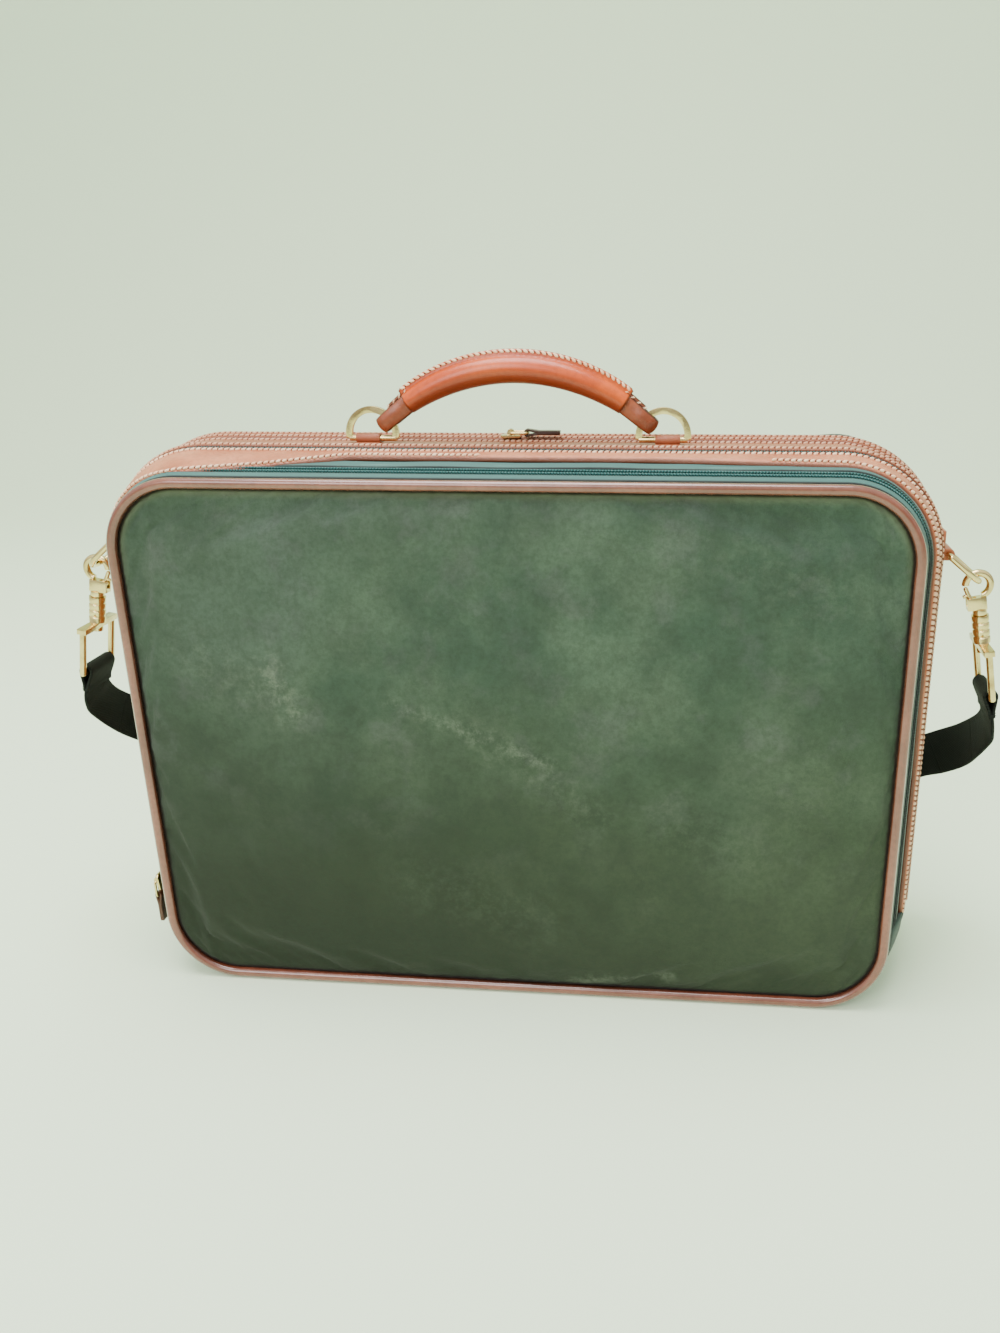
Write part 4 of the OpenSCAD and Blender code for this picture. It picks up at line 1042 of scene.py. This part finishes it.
turns = np.linspace(-GRIP_HALF, GRIP_HALF, 91)
sections = []
for a in turns:
    r = grip_radius(a)
    spine = 0.0030 * min(1, (GRIP_HALF - abs(a)) / 0.03 + 0.75)
    ring = [(r + spine - 0.0001, -0.0012), (r + spine, -0.0006), (r + spine - 0.0004, 0),
            (r + spine, 0.0006), (r + spine - 0.0001, 0.0012), (r + spine * 0.55, 0.00135),
            (r + 0.0006, 0.0015)]
    ring += [(r * math.cos(t), r * math.sin(t)) for t in np.radians(np.linspace(17, 343, 29))]
    ring += [(r + 0.0006, -0.0015), (r + spine * 0.55, -0.00135)]
    sections.append([on_grip(a, rho, y) for rho, y in ring])
m = len(sections[0])
faces = [(i * m + j, i * m + (j + 1) % m, (i + 1) * m + (j + 1) % m, (i + 1) * m + j)
         for i in range(len(turns) - 1) for j in range(m)]
verts = [p for ring in sections for p in ring]
for end, a in ((0, -GRIP_HALF), (len(turns) - 1, GRIP_HALF)):
    base = len(verts)
    r = grip_radius(a)
    verts += [tuple(np.array(on_grip(a, 0, 0)) + (np.array(p) - np.array(on_grip(a, 0, 0))) * 0.80)
              for p in sections[end]]
    verts += [tuple(np.array(on_grip(a * 0.985, 0, 0))
                    + (np.array(p) - np.array(on_grip(a, 0, 0))) * 0.76) for p in sections[end]]
    for j in range(m):
        k = (j + 1) % m
        faces.append((end * m + j, end * m + k, base + k, base + j))
        faces.append((base + j, base + k, base + m + k, base + m + j))
    faces.append(tuple(base + m + j for j in range(m)))
mesh = bpy.data.meshes.new("grip_leather_roll")
mesh.from_pydata(verts, [], faces)
values = []
for i, a in enumerate(turns):
    tail = (GRIP_HALF - abs(a)) * GRIP_R
    values += [min(tail, 0.0004 if j < 5 else 0.01) for j in range(m)]
values += [0.0] * (len(verts) - len(values))
mesh.attributes.new("edge", "FLOAT", "POINT").data.foreach_set("value", np.array(values, np.float32))
# How far round each section a point lies from the top; the grip's painted underside shade follows it.
turned = [0.0] * 7 + [(1 - math.cos(math.radians(t))) / 2 for t in np.linspace(17, 343, 29)] + [0.0] * 2
mesh.attributes.new("under", "FLOAT", "POINT").data.foreach_set(
    "value", np.array(turned * (len(verts) // m), np.float32))
settle(mesh)
grip = keep("grip_leather_roll", mesh, grip_hide)
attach(grip, "handle")
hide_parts("handle_grip")
for label, side in (("front", -1), ("rear", 1)):
    arc = [on_grip(a, grip_radius(a) + 0.0021, side * 0.0015) for a in turns[2:-2]]
    lean = [(math.sin(a) * 0.5, side, math.cos(a) * 0.5) for a in turns[2:-2]]
    seam = beads("grip_stitches_" + label, arc, lean, thread, 0.0030, (0.0034, 0.0016, 0.0011),
                 side * 0.5, None, 0.2)
    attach(seam, "handle")
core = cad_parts["handle_core"]
core.data.materials.clear()
core.data.materials.append(russet.material)

# Strap fittings
# A leather chape on each side of the middle band holds a brass ring. A trigger hook with a
# sprung gate hangs in it, and its swivel carries the wide eye that takes the webbing.

for side in ("left", "right"):
    chape = tidied("side_chape_" + side, tan, 0.0004)
    marked(chape.data, 0.0012)
    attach(chape, "root")
    for node, body, edge in (("side_ring_", "side_ring_", 0), ("hook_", "hook_", 0.0004),
                             ("gate_", "gate_", 0.0002), ("eye_", "eye_", 0.0004)):
        fitting = tidied(node + side, brass, edge)
        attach(fitting, body + side)

# Shoulder strap
# One length of black-green ribbed webbing goes from eye to eye behind the bag. Each end is
# folded round the lower bar of its eye and sewn to itself with two rows of dark thread.

webbing = Finish("ribbed_webbing", Roughness=0.72, Specular_IOR_Level=0.22)
ribs = webbing.sum("SINE", webbing.attribute("along") * 3600, 0)
warp = webbing.sum("SINE", webbing.attribute("over") * 5200, 0)
weave = ribs * warp * 0.5 + 0.5
webbing.set("Base Color", webbing.mix(weave * 0.6, tone(5, 9, 6), tone(24, 30, 22)))
webbing.relief(weave + webbing.clouds(700, 3) * 0.5, 0.0005, 0.7)

LEAN, HANG = math.radians(50), math.radians(10)
SIDE_Z = 0.2995 - 0.0545
SIDE_X = 0.201 + 0.018 * float(share(0.0162)) + 0.0019
RING_REACH = 0.008 + 0.013 + 0.0016
HOOK_DROP = 0.0062 - 0.0019 - 0.0016 - 0.00006
EYE_BAR = -0.0581
TAIL = EYE_BAR - 0.012


def at_hook(x, z, y=0.0, side=-1):
    """A point of the hook's own frame, which hangs below its ring."""
    z -= HOOK_DROP
    px = -SIDE_X - RING_REACH * math.sin(LEAN) + x * math.cos(HANG) + z * math.sin(HANG)
    pz = SIDE_Z - RING_REACH * math.cos(LEAN) - x * math.sin(HANG) + z * math.cos(HANG)
    return np.array((px if side < 0 else -px, y, pz))


fold = 0.0022 + 0.0009
for side, label in ((-1, "left"), (1, "right")):
    half = [(0.0009, TAIL + 0.0001), (0.0009, TAIL + 0.002), (0.0010, TAIL + 0.0035),
            (0.0017, TAIL + 0.006), (0.0025, TAIL + 0.009)]
    route = half + [(fold * math.cos(a), EYE_BAR + fold * math.sin(a))
                    for a in np.linspace(-0.15, math.pi + 0.15, 17)]
    route += [(-x, z) for x, z in reversed(half)]
    path = [at_hook(x, z, 0, side) for x, z in route]
    end = ribbon("strap_end_fold_" + label, path, [(0, 1, 0)] * len(path), 0.025, 0.0017, webbing)
    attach(end, "eye_" + label)
    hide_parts("strap_end_" + label)
    for i, drop in enumerate((0.0012, 0.0026)):
        line = [at_hook(-0.0019, TAIL + drop, y, side) for y in np.linspace(-0.0115, 0.0115, 12)]
        out = at_hook(-1, 0, 0, side) - at_hook(0, 0, 0, side)
        seam = beads("strap_end_stitches_%s_%d" % (label, i + 1), line, [out] * len(line), coil,
                     0.0024, (0.0020, 0.0006, 0.0005), 0.0, coil_core_shade)
        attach(seam, "eye_" + label)

tail_drop = HOOK_DROP - TAIL + 0.0004
tail_x = SIDE_X + RING_REACH * math.sin(LEAN) + tail_drop * math.sin(HANG)
tail_z = SIDE_Z - RING_REACH * math.cos(LEAN) - tail_drop * math.cos(HANG)


def down(d):
    return [-tail_x - d * math.sin(HANG), 0, tail_z - d * math.cos(HANG), 0, 1, 0]


def past(x, y, z, *width):
    return [-tail_x * (1 - x), 0.0625 * y, tail_z + (0.034 - tail_z) * z, *width]


half = [down(0), down(0.004), past(-0.007, 0.09, 0.09, 0, 1, 0.25),
        past(-0.002, 0.24, 0.17, 0, 1, 0.5), past(0.014, 0.48, 0.27, 0.2, 0.85, 0.6),
        past(0.050, 0.74, 0.37, 0.45, 0.55, 0.7),
        past(0.108, 0.95, 0.47, 0.58, 0.2, 0.78), past(0.217, 1, 0.64, 0.58, 0, 0.8),
        past(0.386, 1, 0.84, 0.4, 0, 0.9), past(0.647, 1, 0.95, 0.15, 0, 1),
        past(0.880, 1, 0.996, 0.04, 0, 1)]
knots = np.array(half + [[-p[0], p[1], p[2], -p[3], p[4], p[5]] for p in reversed(half)])
smooth = []
for i in range(len(knots) - 1):
    a, b, c, d = (knots[max(i - 1, 0)], knots[i], knots[i + 1], knots[min(i + 2, len(knots) - 1)])
    for t in np.arange(12) / 12:
        smooth.append(0.5 * (2 * b + (c - a) * t + (2 * a - 5 * b + 4 * c - d) * t * t
                             + (3 * b - a - 3 * c + d) * t ** 3))
smooth.append(knots[-1])
smooth = np.array(smooth)
route, widths = smooth[:, :3], smooth[:, 3:]
run = np.concatenate(([0], np.cumsum(np.linalg.norm(np.diff(route, axis=0), axis=1))))
total = run[-1]
cuts = (0.0, 0.032, 0.070, 0.115, 0.180)
stretches = []
for a, b, bodies in ((0, 1, ("eye", "hook")), (1, 2, ("hook", "side_ring")),
                     (2, 3, ("side_ring", "root")), (3, 4, ("root", "rear_section"))):
    stretches.append((cuts[a], cuts[b], bodies))
for side, label in ((-1, "left"), (1, "right")):
    for number, (a, b, bodies) in enumerate(stretches):
        low, high = (a, b) if side < 0 else (total - b, total - a)
        inside = [i for i in range(len(run)) if low - 1e-9 <= run[i] <= high + 1e-9]
        spots = sorted(set([low, high] + [run[i] for i in inside]))
        path = [[np.interp(s, run, route[:, k]) for k in range(3)] for s in spots]
        ways = [[np.interp(s, run, widths[:, k]) for k in range(3)] for s in spots]
        part = ribbon("shoulder_strap_%s_%d" % (label, number + 1), path, ways, 0.025, 0.0018, webbing)
        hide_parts("shoulder_strap")
        start, stop = (path[0], path[-1]) if side < 0 else (path[-1], path[0])
        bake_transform(part)
spots = [s for s in run if cuts[-1] <= s <= total - cuts[-1]]
spots = [cuts[-1]] + spots + [total - cuts[-1]]
path = [[np.interp(s, run, route[:, k]) for k in range(3)] for s in spots]
ways = [[np.interp(s, run, widths[:, k]) for k in range(3)] for s in spots]
part = ribbon("shoulder_strap_middle", path, ways, 0.025, 0.0018, webbing)
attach(part, "rear_section")
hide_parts("shoulder_strap")

# Zip pulls
# A brass slider runs on each zip, with a wire bail in its eye and a tab of dark waxed
# leather that is folded over the bail and glued to itself.

tab_hide = hide("waxed_tab_leather", tone(96, 52, 32), tone(58, 28, 16), 0.3)
for zip_name in ("pocket", "front", "rear"):
    for node, body, finish, edge, slot in (
            (zip_name + "_slider", zip_name + "_slider", brass, 0.0002, "brass"),
            (zip_name + "_bail", zip_name + "_pull", brass, 0, "brass"),
            (zip_name + "_pull_tab", zip_name + "_pull", tab_hide, 0.0003, "brown_leather")):
        piece = tidied(node, finish, edge)
        if finish is tab_hide:
            marked(piece.data)
        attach(piece, body)

# Inside
# Dark padded nylon covers the divider and the laptop sleeve, which a webbing strap holds
# closed. A thin partition in the front section carries two open organizer pouches.

lining = Finish("padded_lining", Roughness=0.7, Sheen_Weight=0.2)
threads = lining.clouds(1400, 3)
lining.set("Base Color", lining.mix(threads * 0.7, tone(46, 54, 48), tone(74, 84, 76)))
lining.relief(threads * 0.5 + lining.clouds(60, 4) * 1.5, 0.0006, 0.6)


def sheet_form(name, k, inset, y0, y1, floor, finish):
    """A padded sheet that fills the outline of the bag, with its edges pulled in."""
    grid = panel_sheet(inset, k, 60, 44)
    lines, columns = grid.shape[:2]
    flat = grid.reshape(-1, 2).copy()
    flat[:, 1] = np.maximum(flat[:, 1], floor)
    middle, half_thick = (y0 + y1) / 2, (y1 - y0) / 2
    edge = np.array([max(depth_inside(x, z, inset, k), 0) for x, z in flat])
    edge = np.minimum(edge, np.maximum(flat[:, 1] - floor, 0))
    puff = half_thick * (0.35 + 0.65 * (1 - np.exp(-edge / 0.004)))
    front = np.column_stack((flat[:, 0], middle - puff, flat[:, 1]))
    rear = np.column_stack((flat[:, 0], middle + puff, flat[:, 1]))
    faces = [(j * columns + i, j * columns + i + 1, (j + 1) * columns + i + 1, (j + 1) * columns + i)
             for j in range(lines - 1) for i in range(columns - 1)]
    n = len(front)
    faces += [tuple(n + i for i in reversed(f)) for f in faces]
    ring = list(range(columns)) + [j * columns + columns - 1 for j in range(1, lines)]
    ring += [(lines - 1) * columns + i for i in range(columns - 2, -1, -1)]
    ring += [j * columns for j in range(lines - 2, 0, -1)]
    faces += [(ring[i], n + ring[i], n + ring[(i + 1) % len(ring)], ring[(i + 1) % len(ring)])
              for i in range(len(ring))]
    mesh = bpy.data.meshes.new(name)
    mesh.from_pydata(np.concatenate((front, rear)).tolist(), [], faces)
    settle(mesh)
    return keep(name, mesh, finish)


FLOOR = 0.0014 + 0.00005 + 0.0022 + 0.0003
divider = sheet_form("padded_divider", 0.84, 0.0023, -0.0025, 0.0025, FLOOR, lining)
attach(divider, "root")
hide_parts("divider")
partition_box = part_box("partition")
partition = sheet_form("pocket_partition", 0.30, 0.0030, partition_box[0][1], partition_box[1][1],
                       FLOOR + 0.001, lining)
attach(partition, "front_section")
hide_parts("partition")


def padded_walls(name, boxes, finish, puff=0.0):
    """Several padded walls, sewn together into one piece."""
    work = bmesh.new()
    for low, high in boxes:
        size = [h - l for l, h in zip(low, high)]
        thin = size.index(min(size))
        cells = [max(1, round(s / 0.012)) for s in size]
        mesh = slab("wall", low, high, cells, min(0.0006, min(size) * 0.3))
        middle = (low[thin] + high[thin]) / 2
        for v in mesh.vertices:
            inside = min(min(v.co[i] - low[i], high[i] - v.co[i]) for i in range(3) if i != thin)
            v.co[thin] += (v.co[thin] - middle) * puff * (1 - math.exp(-max(inside, 0) / 0.02))
        work.from_mesh(mesh)
    mesh = bpy.data.meshes.new(name)
    work.to_mesh(mesh)
    work.free()
    mesh.shade_smooth()
    return keep(name, mesh, finish)


low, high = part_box("laptop_sleeve")
wall = 0.003
sleeve = padded_walls("laptop_sleeve_padding", (
    ((low[0], high[1] - wall, low[2]), (high[0], high[1], high[2])),
    ((low[0], low[1], low[2]), (low[0] + wall, high[1] - wall, high[2])),
    ((high[0] - wall, low[1], low[2]), (high[0], high[1] - wall, high[2])),
    ((low[0] + wall, low[1], low[2]), (high[0] - wall, high[1] - wall, low[2] + wall))), lining)
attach(sleeve, "root")
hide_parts("laptop_sleeve")
low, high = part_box("organizer_pocket")
wall = 0.0012
pouches = padded_walls("organizer_pouches", (
    ((low[0], high[1] - wall, low[2]), (high[0], high[1], high[2])),
    ((low[0], low[1], low[2]), (low[0] + wall, high[1] - wall, high[2])),
    ((-wall / 2, low[1], low[2]), (wall / 2, high[1] - wall, high[2])),
    ((high[0] - wall, low[1], low[2]), (high[0], high[1] - wall, high[2])),
    ((low[0] + wall, low[1], low[2]), (high[0] - wall, high[1] - wall, low[2] + wall))), lining)
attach(pouches, "front_section")
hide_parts("organizer_pocket")
low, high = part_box("sleeve_strap")
t = 0.0015
route = [(low[1] + t / 2, low[2]), (low[1] + t / 2, high[2] - 0.003), (low[1] + 0.0012, high[2] - 0.0015),
         (low[1] + 0.003, high[2] - t / 2), (high[1] - 0.003, high[2] - t / 2),
         (high[1] - 0.0012, high[2] - 0.0015), (high[1] - t / 2, high[2] - 0.003),
         (high[1] - t / 2, low[2])]
latch = ribbon("sleeve_latch_webbing", [(0, y, z) for y, z in route], [(1, 0, 0)] * len(route),
               high[0] - low[0], t, webbing)
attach(latch, "root")
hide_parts("sleeve_strap")
